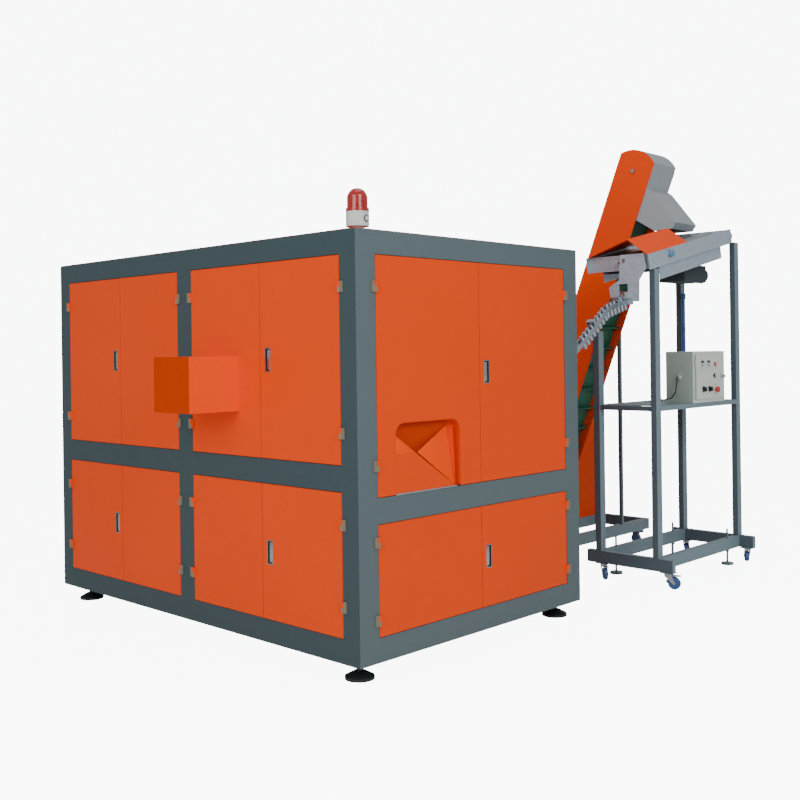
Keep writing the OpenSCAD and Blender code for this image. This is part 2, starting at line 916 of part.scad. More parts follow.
module stand_bars(t) {
    for (x = [stand_x, stand_right_x], y = [stand_y, stand_rear_y]) {
        short = x == stand_x && y == stand_y;
        top = short ? short_post_z : trough_under(y - stand_post_y / 2) - seat_gap;
        box_between([x - stand_post_x / 2 + t, y - stand_post_y / 2 + t, rail_z + t],
            [x + stand_post_x / 2 - t, y + stand_post_y / 2 - t, top - t]);
    }
    for (y = [stand_y - stand_post_y / 2, stand_rear_y + stand_post_y / 2 - base_rail_w])
        box_between([stand_x - stand_lap_left + t, y + t, rail_z + t],
            [stand_right_x + stand_lap_right - t, y + base_rail_w - t, rail_z + base_rail_h - t]);
    for (x = [stand_x, stand_right_x]) {
        box_between([x - stand_post_x / 2 + t, stand_y + t, rail_z + t],
            [x + stand_post_x / 2 - t, stand_rear_y - t, rail_z + base_rail_h - t]);
        box_between([x - stand_post_x / 2 + t, stand_y + t, shelf_top - shelf_t - stand_mid_h + t],
            [x + stand_post_x / 2 - t, stand_rear_y - t, shelf_top - shelf_t - t]);
    }
    for (y = [stand_y, stand_rear_y])
        box_between([stand_x + t, y - stand_post_x / 2 + t, shelf_top - shelf_t - stand_mid_h + t],
            [stand_right_x - t, y + stand_post_x / 2 - t, shelf_top - shelf_t - t]);
}

module caster_plates(x, y)
    translate([x, y, rail_z - caster_plate_t]) {
        box_between([-caster_plate / 2, -caster_plate_w / 2, 0],
            [caster_plate / 2, caster_plate_w / 2, caster_plate_t]);
        translate([0, 0, caster_plate_t - caster_h + crown_low])
        cylinder(r = kingpin_r, h = caster_h - caster_plate_t - crown_low);
    }

module stand_frame()
    color("#64767c")
    at_corner() {
        difference() {
            stand_bars(0);
            stand_bars(stand_tube);
            for (x = [stand_x, stand_right_x], share = foot_along_shares)
                translate([x, stand_y + share * stand_l, rail_z - over])
                cylinder(d = foot_stud_d + 2 * pass_gap, h = base_rail_h + 2 * over);
        }
        box_between([stand_x - stand_post_x / 2, stand_y + stand_post_y / 2 + seat_gap,
            shelf_top - shelf_t],
            [stand_right_x + stand_post_x / 2, stand_rear_y - stand_post_y / 2 - seat_gap,
            shelf_top]);
        for (x = [stand_x, stand_right_x], share = foot_along_shares)
            translate([x, stand_y + share * stand_l, -foot_h]) {
                cylinder(d = foot_pad_d, h = foot_pad_h);
                cylinder(d = foot_stud_d, h = caster_h + base_rail_h + foot_above);
                translate([0, 0, caster_h - foot_pad_h])
                cylinder(d = 2 * foot_stud_d, h = foot_pad_h, $fn = 6);
            }
        for (t = caster_turns)
            caster_plates(caster_along[t[0]], stand_y + t[1] * stand_l);
    }

crown_top_gap = 0.5;
crown_low = 84;
fork_r = 24;
fork_t = 3;
fork_boss_r = 11;
axle_r = 5;
axle_head = 3;
fork_side_gap = 2;
pedal_l = 52;
pedal_w = 30;
pedal_t = 6;
crown_top = caster_h - caster_plate_t - crown_top_gap;
fork_half = wheel_w / 2 + fork_side_gap;

// One caster's fork, with its swivel axis at the origin and its wheel trailing to +x
module caster_fork_body() {
    difference() {
        box_between([-fork_r, -fork_half - fork_t, crown_low], [fork_r, fork_half + fork_t, crown_top]);
        cylinder(r = kingpin_r + run_gap, h = crown_top + over);
    }
    for (side = [-1, 1])
        translate([0, side * (fork_half + fork_t / 2) + fork_t / 2, 0])
        rotate([90, 0, 0])
        linear_extrude(fork_t)
        polygon([[-fork_r, crown_low], [fork_r, crown_low],
            [caster_trail + fork_boss_r, wheel_r], [caster_trail, wheel_r - fork_boss_r],
            [caster_trail - fork_boss_r, wheel_r]]);
    translate([caster_trail, 0, wheel_r])
    rotate([90, 0, 0])
    cylinder(r = axle_r, h = 2 * (fork_half + fork_t + axle_head), center = true);
    box_between([fork_r, -pedal_w / 2, crown_low], [fork_r + pedal_l, pedal_w / 2,
        crown_low + pedal_t]);
}

tyre_round = 6;

module caster_wheel_body(r, w, bore_r)
    rotate([90, 0, 0])
    rotate_extrude()
    polygon([[bore_r, -w / 2], [r - tyre_round, -w / 2], [r, -w / 2 + tyre_round],
        [r, w / 2 - tyre_round], [r - tyre_round, w / 2], [bore_r, w / 2]]);

module at_caster(i)
    at_corner()
    translate([caster_along[caster_turns[i][0]], stand_y + caster_turns[i][1] * stand_l, -foot_h])
    rotate(caster_turns[i][2])
    children();

module stand_caster_fork(i)
    color("#a7adb2")
    at_caster(i)
    caster_fork_body();

module stand_caster_wheel(i)
    color("#27408b")
    at_caster(i)
    translate([caster_trail, 0, wheel_r])
    caster_wheel_body(wheel_r, wheel_w, axle_r + run_gap);

// Sorter trough, drawn level and then set on the slope
lower_inset = 20;
lower_from = 147;
lower_to = 1000;
belly_inset = 62;
belly_from = 70;
belly_drop = 24;
end_plate_from = 40;
end_plate_t = 6;
rear_plate_from = 1088;
roller_gap_x = -190;
roller_axis_z = 52;
journal_r = 10;
roller_l = rear_plate_from - end_plate_from - end_plate_t - 2 * pass_gap;
roller_from = end_plate_from + end_plate_t + pass_gap;
roller_x = [roller_gap_x + roller_gap / 2 + roller_r, roller_gap_x - roller_gap / 2 - roller_r];
slide_t = 3;
slide_off = 8;
slide_high = 88;
slide_low = 64;
end_cap_x = -45;
end_cap_r = 37;
end_cap_l = 74;
side_knob_y = 262;
side_knob_z = 18;
side_knob_r = 20;
side_knob_l = 24;
plate_in_right = trough_right - trough_sheet;
plate_in_left = trough_left + trough_sheet;

module on_slope()
    at_corner()
    translate([0, trough_y, trough_front_z])
    rotate([slope, 0, 0])
    children();

// Head plate under the front end, as shares of its own width and height
head_x = -302;
head_w = 274;
head_low = 1713;
head_h = 322;
head_t = 6;
head_outline_shares = [[0.314, 0.997], [0.945, 1], [1, 0.708], [0.818, 0.478], [0.81, 0.056],
    [0.646, 0.062], [0.646, 0], [0.077, 0], [0, 0.357], [0.28, 0.5]];
head_slot_x = -228;
head_slot_w = 65;
head_slot_top = 1847;
head_hole = 25;
head_hole_x = -206;
head_hole_z = 1982;
clamp_w = 34;
clamp_h = 40;
clamp_d = 24;
clamp_x = -171;
clamp_z = 1753;

module sorter_trough() {
    color("#8f9da5")
    on_slope() {
        difference() {
            union() {
                for (x = [trough_left, plate_in_right])
                    box_between([x, 0, 0], [x + trough_sheet, trough_l, trough_h]);
                for (x = [trough_left + lower_inset, trough_right - lower_inset - trough_sheet])
                    box_between([x, lower_from, -trough_lower_h], [x + trough_sheet, lower_to, 0]);
                for (x = [trough_left, trough_right - lower_inset - trough_sheet])
                    box_between([x, lower_from, 0],
                        [x + lower_inset + trough_sheet, lower_to, slide_t]);
                for (y = [end_plate_from, rear_plate_from])
                    box_between([plate_in_left, y, 0], [plate_in_right, y + end_plate_t, trough_h]);
                // Slides from the side plates to the rollers
                for (ends = [[plate_in_left - over, roller_x[1] - roller_r - slide_off],
                    [plate_in_right + over, roller_x[0] + roller_r + slide_off]])
                    translate([0, rear_plate_from + over, 0])
                    rotate([90, 0, 0])
                    linear_extrude(rear_plate_from - end_plate_from - end_plate_t + 2 * over)
                    polygon([[ends[0], slide_high], [ends[1], slide_low],
                        [ends[1], slide_low - slide_t], [ends[0], slide_high - slide_t]]);
            }
            for (x = roller_x)
                translate([x, 0, roller_axis_z])
                rotate([-90, 0, 0])
                cylinder(r = journal_r + run_gap, h = trough_l);
        }
        box_between([trough_left + belly_inset, belly_from, -belly_drop],
            [trough_right - belly_inset, lower_to, -belly_drop + slide_t]);
        for (x = [trough_left + lower_inset + trough_sheet, trough_right - belly_inset - slide_t])
            box_between([x, lower_from, -belly_drop],
                [x == trough_right - belly_inset - slide_t
                ? trough_right - lower_inset - trough_sheet : trough_left + belly_inset + slide_t,
                lower_to, -belly_drop + slide_t]);
        translate([end_cap_x, rear_plate_from + end_plate_t, trough_h / 2])
        rotate([-90, 0, 0])
        cylinder(r = end_cap_r, h = end_cap_l);
        translate([trough_right, side_knob_y, trough_h - side_knob_z - side_knob_r])
        rotate([0, 90, 0])
        cylinder(r = side_knob_r, h = side_knob_l);
    }
    color("#8f9da5")
    at_corner() {
        front_plate(trough_y - head_t, head_t)
        difference() {
            polygon([for (s = head_outline_shares)
                [head_x + s[0] * head_w, head_low + s[1] * head_h]]);
            translate([head_slot_x, head_low - over])
            square([head_slot_w, head_slot_top - head_low + over]);
            translate([head_hole_x, head_hole_z])
            square(head_hole);
        }
        box_between([clamp_x, trough_y - head_t - clamp_d, clamp_z],
            [clamp_x + clamp_w, trough_y - head_t, clamp_z + clamp_h]);
    }
}

module sorter_roller(x)
    color("#b9bfc3")
    on_slope()
    translate([x, roller_from, roller_axis_z])
    rotate([-90, 0, 0]) {
        cylinder(r = roller_r, h = roller_l);
        translate([0, 0, -end_plate_t])
        cylinder(r = journal_r, h = roller_l + 2 * end_plate_t);
    }

ridge_x = -132;
ridge_rise = 105;
cover_from = -12;
cover_l = 519;
cover_t = 3;

module sorter_cover()
    color("#eb550c")
    on_slope()
    translate([0, cover_from + cover_l, 0])
    rotate([90, 0, 0])
    linear_extrude(cover_l)
    polygon([[trough_right, trough_h], [ridge_x, trough_h + ridge_rise], [trough_left, trough_h],
        [trough_left + 2 * cover_t, trough_h], [ridge_x, trough_h + ridge_rise - cover_t],
        [trough_right - 2 * cover_t, trough_h]]);

gear_y = 3191;
gear_l = 300;
gear_z = 1887;
gear_h = 116;
gear_x = -300;
gear_w = 190;
gear_motor_r = 55;
gear_motor_l = 113;
hanger_t = 6;
hanger_w = 80;

// Gear motor under the trough with its hanger and the drive's end plate
module sorter_gearmotor()
    color("#4a5256")
    at_corner() {
        box_between([gear_x, gear_y, gear_z], [gear_x + gear_w, gear_y + gear_l, gear_z + gear_h]);
        translate([gear_x + gear_w / 2, gear_y + gear_l, gear_z + gear_h / 2])
        rotate([-90, 0, 0])
        cylinder(r = gear_motor_r, h = gear_motor_l);
        for (y = [gear_y, gear_y + gear_l - hanger_w])
            box_between([gear_x + gear_w / 2 - hanger_w / 2, y, gear_z + gear_h],
                [gear_x + gear_w / 2 + hanger_w / 2, y + hanger_t,
                trough_under(y) - belly_drop / cos(slope) - seat_gap]);
    }

// Infeed rails from the head down into the cabinet, with the preforms that hang in them
infeed_w = 25;
infeed_t = 8;
infeed_gap = 30;
infeed_points = [[2600, 1750], [2350, 1682], [2060, 1465], [2010, 1430],
    [1743, 1245], [1560, 1118]];
infeed_outer = infeed_gap / 2 + infeed_t + run_gap;
infeed_arm_t = 5;
infeed_arm_l = 30;
infeed_arm_top = 1800;
infeed_arm_low = 1725;
infeed_bar_h = 20;
infeed_bar_w = 90;
cabinet_arm_low = 1100;
cabinet_arm_top = 1262;
bridge_h = 44;
bridge_l = 30;
bridge_share = 0.5;
bridge_bar_t = 8;
preform_pitch = 42;
preform_neck_r = 17;
preform_neck_h = 3;
preform_r = 14;
preform_mouth_r = 11;
preform_up = 18;
preform_down = 62;

module on_infeed(i, along) {
    a = infeed_points[i];
    b = infeed_points[i + 1];
    step = b - a;
    p = a + step * along / norm(step);
    translate([infeed_x, p[0], p[1]])
    rotate([atan2(step[1], step[0]) + 180, 0, 0])
    children();
}

module preform()
    rotate_extrude() {
        square([preform_neck_r, preform_neck_h]);
        square([preform_mouth_r, preform_up]);
        translate([0, -preform_down])
        square([preform_r, preform_down]);
        translate([0, -preform_down])
        intersection() {
            circle(r = preform_r);
            translate([0, -preform_r])
            square(preform_r);
        }
    }

module infeed_rails()
    color("#c4cdd4")
    at_corner() {
        for (side = [-1, 1])
            side_strip(infeed_points, infeed_w,
                infeed_x + side * (infeed_gap + infeed_t) / 2 - infeed_t / 2,
                infeed_x + side * (infeed_gap + infeed_t) / 2 + infeed_t / 2);
        // Arms on the head plate and on the cabinet's rear panel
        for (side = [0, 1])
            translate([infeed_x, 0, 0])
            mirror([side, 0, 0]) {
                box_between([infeed_outer, trough_y, infeed_arm_low],
                    [infeed_outer + infeed_arm_t, trough_y + infeed_arm_l, infeed_arm_top]);
                box_between([infeed_outer, cabinet_w + sheet, cabinet_arm_low],
                    [infeed_outer + infeed_arm_t, cabinet_w + sheet + infeed_arm_l,
                    cabinet_arm_top]);
            }
        box_between([infeed_x - infeed_bar_w / 2, trough_y, infeed_arm_top - infeed_bar_h],
            [infeed_x + infeed_bar_w / 2, trough_y + infeed_arm_l, infeed_arm_top]);
        // Bridges over the preforms' mouths
        for (i = [0, 1])
            on_infeed(i, bridge_share * norm(infeed_points[i + 1] - infeed_points[i]))
            difference() {
                box_between([-infeed_outer - infeed_arm_t, -bridge_l / 2, -infeed_w / 2],
                    [infeed_outer + infeed_arm_t, bridge_l / 2, bridge_h]);
                box_between([-infeed_outer, -bridge_l, -infeed_w],
                    [infeed_outer, bridge_l, bridge_h - bridge_bar_t]);
            }
        for (i = [0 : len(infeed_points) - 2]) {
            step = norm(infeed_points[i + 1] - infeed_points[i]);
            if (step > 2 * preform_pitch)
                for (s = [preform_pitch / 2 + preform_r : preform_pitch : step - preform_r])
                    on_infeed(i, s)
                    translate([0, 0, infeed_w / 2 + run_gap])
                    preform();
        }
    }

// Control box on the stand's shelf
box_x = -202;
box_y = 3088;
box_wall = 2;
box_lip = 22;
box_door_inset = 24;
box_door_depth = 12;
box_door_gap = 0.5;
box_hinge_r = 4;
box_hinge_h = 40;
box_pin_r = 2;
box_face = box_x + box_d;
box_floor = shelf_top;
box_hinge_inset = 50;
box_door_y = box_y + box_door_inset;
box_door_w = box_w - 2 * box_door_inset;
box_door_z = box_floor + box_door_inset;
box_door_h = box_h - 2 * box_door_inset;
box_hinge_x = box_face + box_door_depth / 2;
box_hinge_y = box_door_y - box_hinge_r - box_door_gap;
box_hinge_z = [box_door_z + box_hinge_inset, box_door_z + box_door_h - box_hinge_inset];
side_plug_r = 14;
side_plug_l = 22;
box_rail_h = 35;
box_module_w = 45;
box_module_h = 90;
box_module_d = 70;
box_modules = 4;

module control_box()
    color("#85948c")
    at_corner() {
        difference() {
            box_between([box_x, box_y, box_floor], [box_face, box_y + box_w, box_floor + box_h]);
            box_between([box_x + box_wall, box_y + box_wall, box_floor + box_wall],
                [box_face - box_wall, box_y + box_w - box_wall, box_floor + box_h - box_wall]);
            box_between([box_face - 2 * box_wall, box_y + box_lip + box_door_inset,
                box_floor + box_lip + box_door_inset],
                [box_face + over, box_y + box_w - box_lip - box_door_inset,
                box_floor + box_h - box_lip - box_door_inset]);
        }
        for (z = box_hinge_z) {
            translate([box_hinge_x, box_hinge_y, z]) {
                cylinder(r = box_hinge_r, h = box_hinge_h / 2);
                translate([0, 0, -box_hinge_h / 2])
                cylinder(r = box_pin_r, h = box_hinge_h);
            }
            box_between([box_face, box_hinge_y - box_hinge_r, z],
                [box_hinge_x, box_hinge_y, z + box_hinge_h / 2]);
        }
        translate([box_x + box_d / 2, box_y, box_floor + box_h / 2])
        rotate([90, 0, 0])
        cylinder(r = side_plug_r, h = side_plug_l);
        translate([box_x + box_wall, box_y + box_w / 2, box_floor + box_h / 2]) {
            box_between([0, -box_w / 2 + 2 * box_wall, -box_rail_h / 2],
                [2 * box_wall, box_w / 2 - 2 * box_wall, box_rail_h / 2]);
            for (k = [1 : box_modules])
                translate([2 * box_wall, (k / (box_modules + 1) - 1 / 2) * box_w, 0])
                box_between([0, -box_module_w / 2, -box_module_h / 2],
                    [box_module_d, box_module_w / 2, box_module_h / 2]);
        }
    }

// Places on the control box's door, as shares of the door's width and height
meter_shares = [[0.18, 0.8], [0.4, 0.8]];
meter_size = 48;
meter_d = 6;
lamp_shares = [0.66, 0.78];
lamp_button_r = 13;
lamp_button_d = 12;
push_shares = [0.63, 0.52];
lock_shares = [0.89, 0.5];
lock_r = 10;
key_w = 4;
key_l = 24;
key_h = 20;
knob_shares = [[0.25, 0.22], [0.46, 0.22]];
knob_r = 15;
knob_d = 22;
knob_shaft_r = 5;
estop_shares = [0.65, 0.2];
estop_r = 20;
estop_d = 14;
estop_shaft_r = 8;
estop_travel = 6;
estop_collar_r = 16;
estop_collar_d = 9;

module on_box_door(shares)
    at_corner()
    translate([box_face + box_door_gap + box_door_depth, box_door_y + shares[0] * box_door_w,
        box_door_z + shares[1] * box_door_h])
    rotate([0, 90, 0])
    children();

module control_box_door()
    color("#cdd2c9") {
        difference() {
            at_corner()
            translate([box_face + box_door_gap, 0, 0])
            difference() {
                box_between([0, box_door_y, box_door_z],
                    [box_door_depth, box_door_y + box_door_w, box_door_z + box_door_h]);
                box_between([-over, box_door_y + box_wall, box_door_z + box_wall],
                    [box_door_depth - box_wall, box_door_y + box_door_w - box_wall,
                    box_door_z + box_door_h - box_wall]);
            }
            for (s = knob_shares)
                on_box_door(s)
                cylinder(r = knob_shaft_r + run_gap, h = 4 * box_wall, center = true);
            on_box_door(estop_shares)
            cylinder(r = estop_shaft_r + run_gap, h = 4 * box_wall, center = true);
        }
        for (s = meter_shares)
            on_box_door(s)
            translate([-meter_size / 2, -meter_size / 2, 0])
            cube([meter_size, meter_size, meter_d]);
        for (s = [lamp_shares, push_shares])
            on_box_door(s)
            cylinder(r = lamp_button_r, h = lamp_button_d);
        on_box_door(lock_shares) {
            cylinder(r = lock_r, h = meter_d);
            translate([-key_h / 2, -key_w / 2, meter_d])
            cube([key_h, key_w, key_l]);
        }
        on_box_door(estop_shares)
        difference() {
            cylinder(r = estop_collar_r, h = estop_collar_d);
            translate([0, 0, -over])
            cylinder(r = estop_shaft_r + run_gap, h = estop_collar_d + 2 * over);
        }
        at_corner()
        for (z = box_hinge_z) {
            difference() {
                union() {
                    translate([box_hinge_x, box_hinge_y, z - box_hinge_h / 2])
                    cylinder(r = box_hinge_r, h = box_hinge_h / 2 - knuckle_gap);
                    box_between([box_hinge_x - box_wall, box_hinge_y, z - box_hinge_h / 2],
                        [box_hinge_x + box_wall, box_door_y, z - knuckle_gap]);
                }
                translate([box_hinge_x, box_hinge_y, z - box_hinge_h])
                cylinder(r = box_pin_r + run_gap, h = 2 * box_hinge_h);
            }
        }
    }

module estop_button()
    color("#c8281c")
    on_box_door(estop_shares) {
        translate([0, 0, -3 * box_wall])
        cylinder(r = estop_shaft_r, h = estop_collar_d + estop_travel + 4 * box_wall);
        translate([0, 0, estop_collar_d + estop_travel + pass_gap])
        cylinder(r = estop_r, h = estop_d);
    }

module selector_knob(shares)
    color("#23272a")
    on_box_door(shares) {
        translate([0, 0, -2 * box_wall])
        cylinder(r = knob_shaft_r, h = 3 * box_wall);
        translate([0, 0, pass_gap])
        difference() {
            cylinder(r = knob_r, h = knob_d);
            for (side = [-1, 1])
                translate([0, side * (knob_r + knob_shaft_r), knob_d])
                cube([2 * knob_r + over, 2 * knob_r - over, knob_d], center = true);
        }
    }

// Elevator, drawn upright along +z with its underside to +x and then leaned over
tail_x = -1540;
tail_z = 262;
elevator_y = 3300;
shoulder_up = 94;
shaft_r = 15;
head_arc_r = (elevator_d * elevator_d / 4 + head_rise * head_rise) / (2 * head_rise);
shoulder_z = elevator_l + shoulder_up;
side_gap = 3;
inner_w = elevator_w - 2 * plate_t;

module in_elevator()
    at_corner()
    translate([tail_x, elevator_y, tail_z])
    rotate([0, elevator_lean, 0])
    children();

// Shapes are drawn across and along the elevator and spread over its width
module across(y_from, w)
    translate([0, y_from + w, 0])
    rotate([90, 0, 0])
    linear_extrude(w)
    children();

module head_shape(r, half, z_from)
    intersection() {
        translate([0, shoulder_z + head_rise - head_arc_r])
        circle(r = r, $fn = 128);
        translate([-half, z_from])
        square([2 * half, shoulder_z + head_rise]);
    }

module elevator_side_plates()
    color("#64767c")
    in_elevator() {
        difference() {
            for (y = [0, elevator_w - plate_t])
                across(y, plate_t) {
                    circle(d = elevator_d);
                    translate([-elevator_d / 2, 0])
                    square([elevator_d, shoulder_z - head_arc_r / 2]);
                    head_shape(head_arc_r, elevator_d / 2, shoulder_z - head_arc_r);
                }
            for (z = [0, elevator_l])
                translate([0, -over, z])
                rotate([-90, 0, 0])
                cylinder(r = shaft_r + run_gap, h = elevator_w + 2 * over);
        }
        box_between([-slider_half, plate_t, slider_from],
            [slider_half, elevator_w - plate_t, elevator_l - slider_from]);
    }

slider_half = 20;
slider_from = 140;
cleat_t = 6;
belt_w = inner_w - 2 * side_gap;
belt_clear = 0.8;
belt_r = drum_r + belt_t;
cleat_root = belt_t - belt_clear;
cleats = floor(elevator_l / cleat_pitch);

module elevator_belt()
    color("#1a5a45")
    in_elevator() {
        across(plate_t + side_gap, belt_w)
        difference() {
            union() {
                for (z = [0, elevator_l])
                    translate([0, z])
                    circle(r = belt_r);
                translate([-belt_r, 0])
                square([2 * belt_r, elevator_l]);
            }
            for (z = [0, elevator_l])
                translate([0, z])
                circle(r = drum_r + belt_clear);
            translate([-drum_r - belt_clear, 0])
            square([2 * (drum_r + belt_clear), elevator_l]);
        }
        for (side = [-1, 1], i = [0 : cleats])
            translate([side * (belt_r + cleat_h / 2 - cleat_root / 2), elevator_w / 2,
                i * elevator_l / cleats])
            cube([cleat_h + cleat_root, belt_w, cleat_t], center = true);
    }

module drum(z)
    color("#9aa2a6")
    in_elevator()
    translate([0, 0, z])
    rotate([-90, 0, 0]) {
        translate([0, 0, plate_t + side_gap])
        cylinder(r = drum_r, h = belt_w);
        translate([0, 0, -drum_shaft_out])
        cylinder(r = shaft_r, h = elevator_w + 2 * drum_shaft_out);
    }

drum_shaft_out = 12;

cover_low = 2515;
cover_sheet = 3;
hood_t = 3;
hood_inset = 2;
hood_y = [elevator_y + plate_t + hood_inset, elevator_y + elevator_w - plate_t - hood_inset];
hood_front = [[-462, 2571], [-424, 2543], [-236, 2306], [-265, 2265]];
hood_back = [[-550, 2354], [-405, 2265]];

// Head cover between the plates, and the discharge hood under it
module elevator_chute()
    color("#9aa5aa") {
        in_elevator()
        across(plate_t, inner_w)
        difference() {
            head_shape(head_arc_r, elevator_d / 2, cover_low);
            head_shape(head_arc_r - cover_sheet, elevator_d / 2 - cover_sheet, cover_low - over);
        }
        at_corner() {
            for (line = [hood_front, hood_back])
                front_plate(hood_y[0], hood_y[1] - hood_y[0])
                strip(line, hood_t);
            for (y = [hood_y[0], hood_y[1] - hood_t])
                front_plate(y, hood_t)
                polygon(concat(hood_front, [hood_back[1], hood_back[0]]));
        }
    }

motor_r = 62;
motor_l = 190;
motor_box = 130;
motor_reach = 60;

// Gear motor of the belt on the outside of the far plate
module elevator_gearmotor()
    color("#3a484b")
    in_elevator()
    translate([0, elevator_w + drum_shaft_out + pass_gap, elevator_l]) {
        box_between([-motor_box / 2, 0, -motor_box - motor_reach], [motor_box / 2, motor_box,
            motor_reach]);
        for (z = [-motor_box - motor_reach, motor_reach - hanger_t])
            box_between([-motor_box / 2, -drum_shaft_out - pass_gap, z],
                [motor_box / 2, 0, z + hanger_t]);
        translate([0, motor_box / 2, -motor_box - motor_reach - motor_l])
        cylinder(r = motor_r, h = motor_l);
    }

// Floor frame of the elevator and hopper
base_x = [-2290, -900];
base_y = [2934, 3970];
thin_post = 25;
thin_post_x = -895;
thin_post_top = 1591;
cross_x = [-2230, -1320];
base_wheel_x = [-2245, -925];
base_wheel_y = [2934, 3870];

module elevator_bars(t) {
    for (x = base_x)
        box_between([x - base_rail_w / 2 + t, base_y[0] - base_rail_w / 2 + t, rail_z + t],
            [x + base_rail_w / 2 - t, base_y[1] + base_rail_w / 2 - t, rail_z + base_rail_h - t]);
    for (x = cross_x)
        box_between([x - base_rail_w / 2 + t, base_y[0] + t, rail_z + t],
            [x + base_rail_w / 2 - t, base_y[1] - t, rail_z + base_rail_h - t]);
    for (y = base_y)
        box_between([base_x[0] + t, y - base_rail_w / 2 + t, rail_z + t],
            [base_x[1] - t, y + base_rail_w / 2 - t, rail_z + base_rail_h - t]);
}

post_y_places = [elevator_y - thin_post, elevator_y + elevator_w];

module elevator_frame()
    color("#64767c")
    at_corner() {
        difference() {
            union() {
                elevator_bars(0);
                for (y = post_y_places)
                    box_between([thin_post_x - thin_post / 2, y, rail_z + base_rail_h],
                        [thin_post_x + thin_post / 2, y + thin_post, thin_post_top]);
            }
            elevator_bars(stand_tube);
        }
        for (x = base_wheel_x, y = base_wheel_y)
            translate([x, y, -foot_h]) {
                for (side = [-1, 1])
                    translate([0, side * (fork_half + fork_t / 2) + fork_t / 2, 0])
                    rotate([90, 0, 0])
                    linear_extrude(fork_t)
                    polygon([[-fork_r, crown_low], [fork_r, crown_low],
                        [fork_boss_r, wheel_r], [0, wheel_r - fork_boss_r],
                        [-fork_boss_r, wheel_r]]);
                difference() {
                    box_between([-caster_plate / 2, -caster_plate_w / 2, crown_low],
                        [caster_plate / 2, caster_plate_w / 2, caster_h]);
                    box_between([-caster_plate, -fork_half, crown_low - over],
                        [caster_plate, fork_half, caster_h - 2 * caster_plate_t]);
                }
                translate([0, 0, wheel_r])
                rotate([90, 0, 0])
                cylinder(r = axle_r, h = 2 * (fork_half + fork_t + axle_head), center = true);
            }
    }

module elevator_wheels(x)
    color("#27408b")
    at_corner()
    for (y = base_wheel_y)
        translate([x, y, -foot_h + wheel_r])
        caster_wheel_body(wheel_r, wheel_w, axle_r + run_gap);

hopper_x = -2250;
hopper_y = 3003;
hopper_floor = rail_z + base_rail_h;
hopper_sheet = 3;
hopper_rim = 25;
hopper_notch_z = 450;
hopper_notch_gap = 5;

module elevator_hopper()
    color("#eb550c")
    at_corner() {
        difference() {
            union() {
                box_between([hopper_x, hopper_y, hopper_floor],
                    [hopper_x + hopper_l, hopper_y + hopper_w, hopper_floor + hopper_h]);
                box_between([hopper_x - hopper_rim, hopper_y - hopper_rim,
                    hopper_floor + hopper_h - hopper_sheet],
                    [hopper_x + hopper_l, hopper_y + hopper_w + hopper_rim,
                    hopper_floor + hopper_h]);
            }
            box_between([hopper_x + hopper_sheet, hopper_y + hopper_sheet,
                hopper_floor + hopper_sheet],
                [hopper_x + hopper_l - hopper_sheet, hopper_y + hopper_w - hopper_sheet,
                hopper_floor + hopper_h + over]);
            box_between([hopper_x + hopper_l - 2 * hopper_sheet, elevator_y - hopper_notch_gap,
                hopper_notch_z],
                [hopper_x + hopper_l + over, elevator_y + elevator_w + hopper_notch_gap,
                hopper_floor + hopper_h + over]);
        }
    }

vibrator_x = -1430;
vibrator_y = 3200;
vibrator_l = 160;
vibrator_r = 36;
vibrator_foot_h = 6;

module hopper_vibrator()
    color("#2b3033")
    at_corner()
    translate([vibrator_x, vibrator_y, hopper_floor - vibrator_r - vibrator_foot_h]) {
        rotate([0, 90, 0])
        cylinder(r = vibrator_r, h = vibrator_l, center = true);
        box_between([-vibrator_l / 3, -vibrator_r, 0],
            [vibrator_l / 3, vibrator_r, vibrator_r + vibrator_foot_h]);
    }

// Blue air hose beside the rear post, and the control box's lead
hose_d = 25;
lead_d = 9;
hose_x = -400;
hose_y = 3700;
hose_top = 1790;
hose_cap_d = 34;
hose_cap_h = 40;
lead_y = box_y - side_plug_l - lead_d / 2;
lead_z = box_floor + box_h / 2;
lead_low = box_floor + 4 * lead_d;
lead_x = box_x + box_d / 2;
post_face_y = stand_y + stand_post_y / 2 + lead_d / 2 + seat_gap;
lead_points = [[lead_x, lead_y, lead_z], [lead_x, lead_y - 3 * lead_d, lead_low + 4 * lead_d],
    [lead_x, lead_y - 9 * lead_d, lead_low], [stand_right_x, post_face_y + 4 * lead_d, lead_low],
    [stand_right_x, post_face_y, lead_low + 4 * lead_d]];

module service_lines() {
    color("#2c4fa0")
    at_corner() {
        translate([hose_x, hose_y, shelf_top])
        cylinder(d = hose_d, h = hose_top - shelf_top);
        translate([hose_x, hose_y, hose_top])
        cylinder(d = hose_cap_d, h = hose_cap_h);
    }
    color("#202325")
    at_corner()
    hose(lead_points, lead_d);
}

cabinet_frame();
cabinet_panels();
machine_bed();
levelling_feet();
hinge_frame_leaves();
console_box();
outlet_chute();
beacon_base();
beacon_lens();
beacon_reflector();
front_door(0, front_rows[0]);  // front_door_upper_1
front_door(1, front_rows[0]);  // front_door_upper_2
front_door(2, front_rows[0]);  // front_door_upper_3
front_door(3, front_rows[0]);  // front_door_upper_4
front_door(0, front_rows[1]);  // front_door_lower_1
front_door(1, front_rows[1]);  // front_door_lower_2
front_door(2, front_rows[1]);  // front_door_lower_3
front_door(3, front_rows[1]);  // front_door_lower_4
end_door_upper_1();
end_door(1, end_rows[0]);  // end_door_upper_2
end_door(0, end_rows[1]);  // end_door_lower_1
end_door(1, end_rows[1]);  // end_door_lower_2
oven_housing();
preform_carousel();
mould_half(-1);  // mould_half_1
mould_half(1);  // mould_half_2
stretch_rods();
electrical_cabinet();
stand_frame();
stand_caster_fork(0);  // stand_caster_fork_1
stand_caster_fork(1);  // stand_caster_fork_2
stand_caster_fork(2);  // stand_caster_fork_3
stand_caster_fork(3);  // stand_caster_fork_4
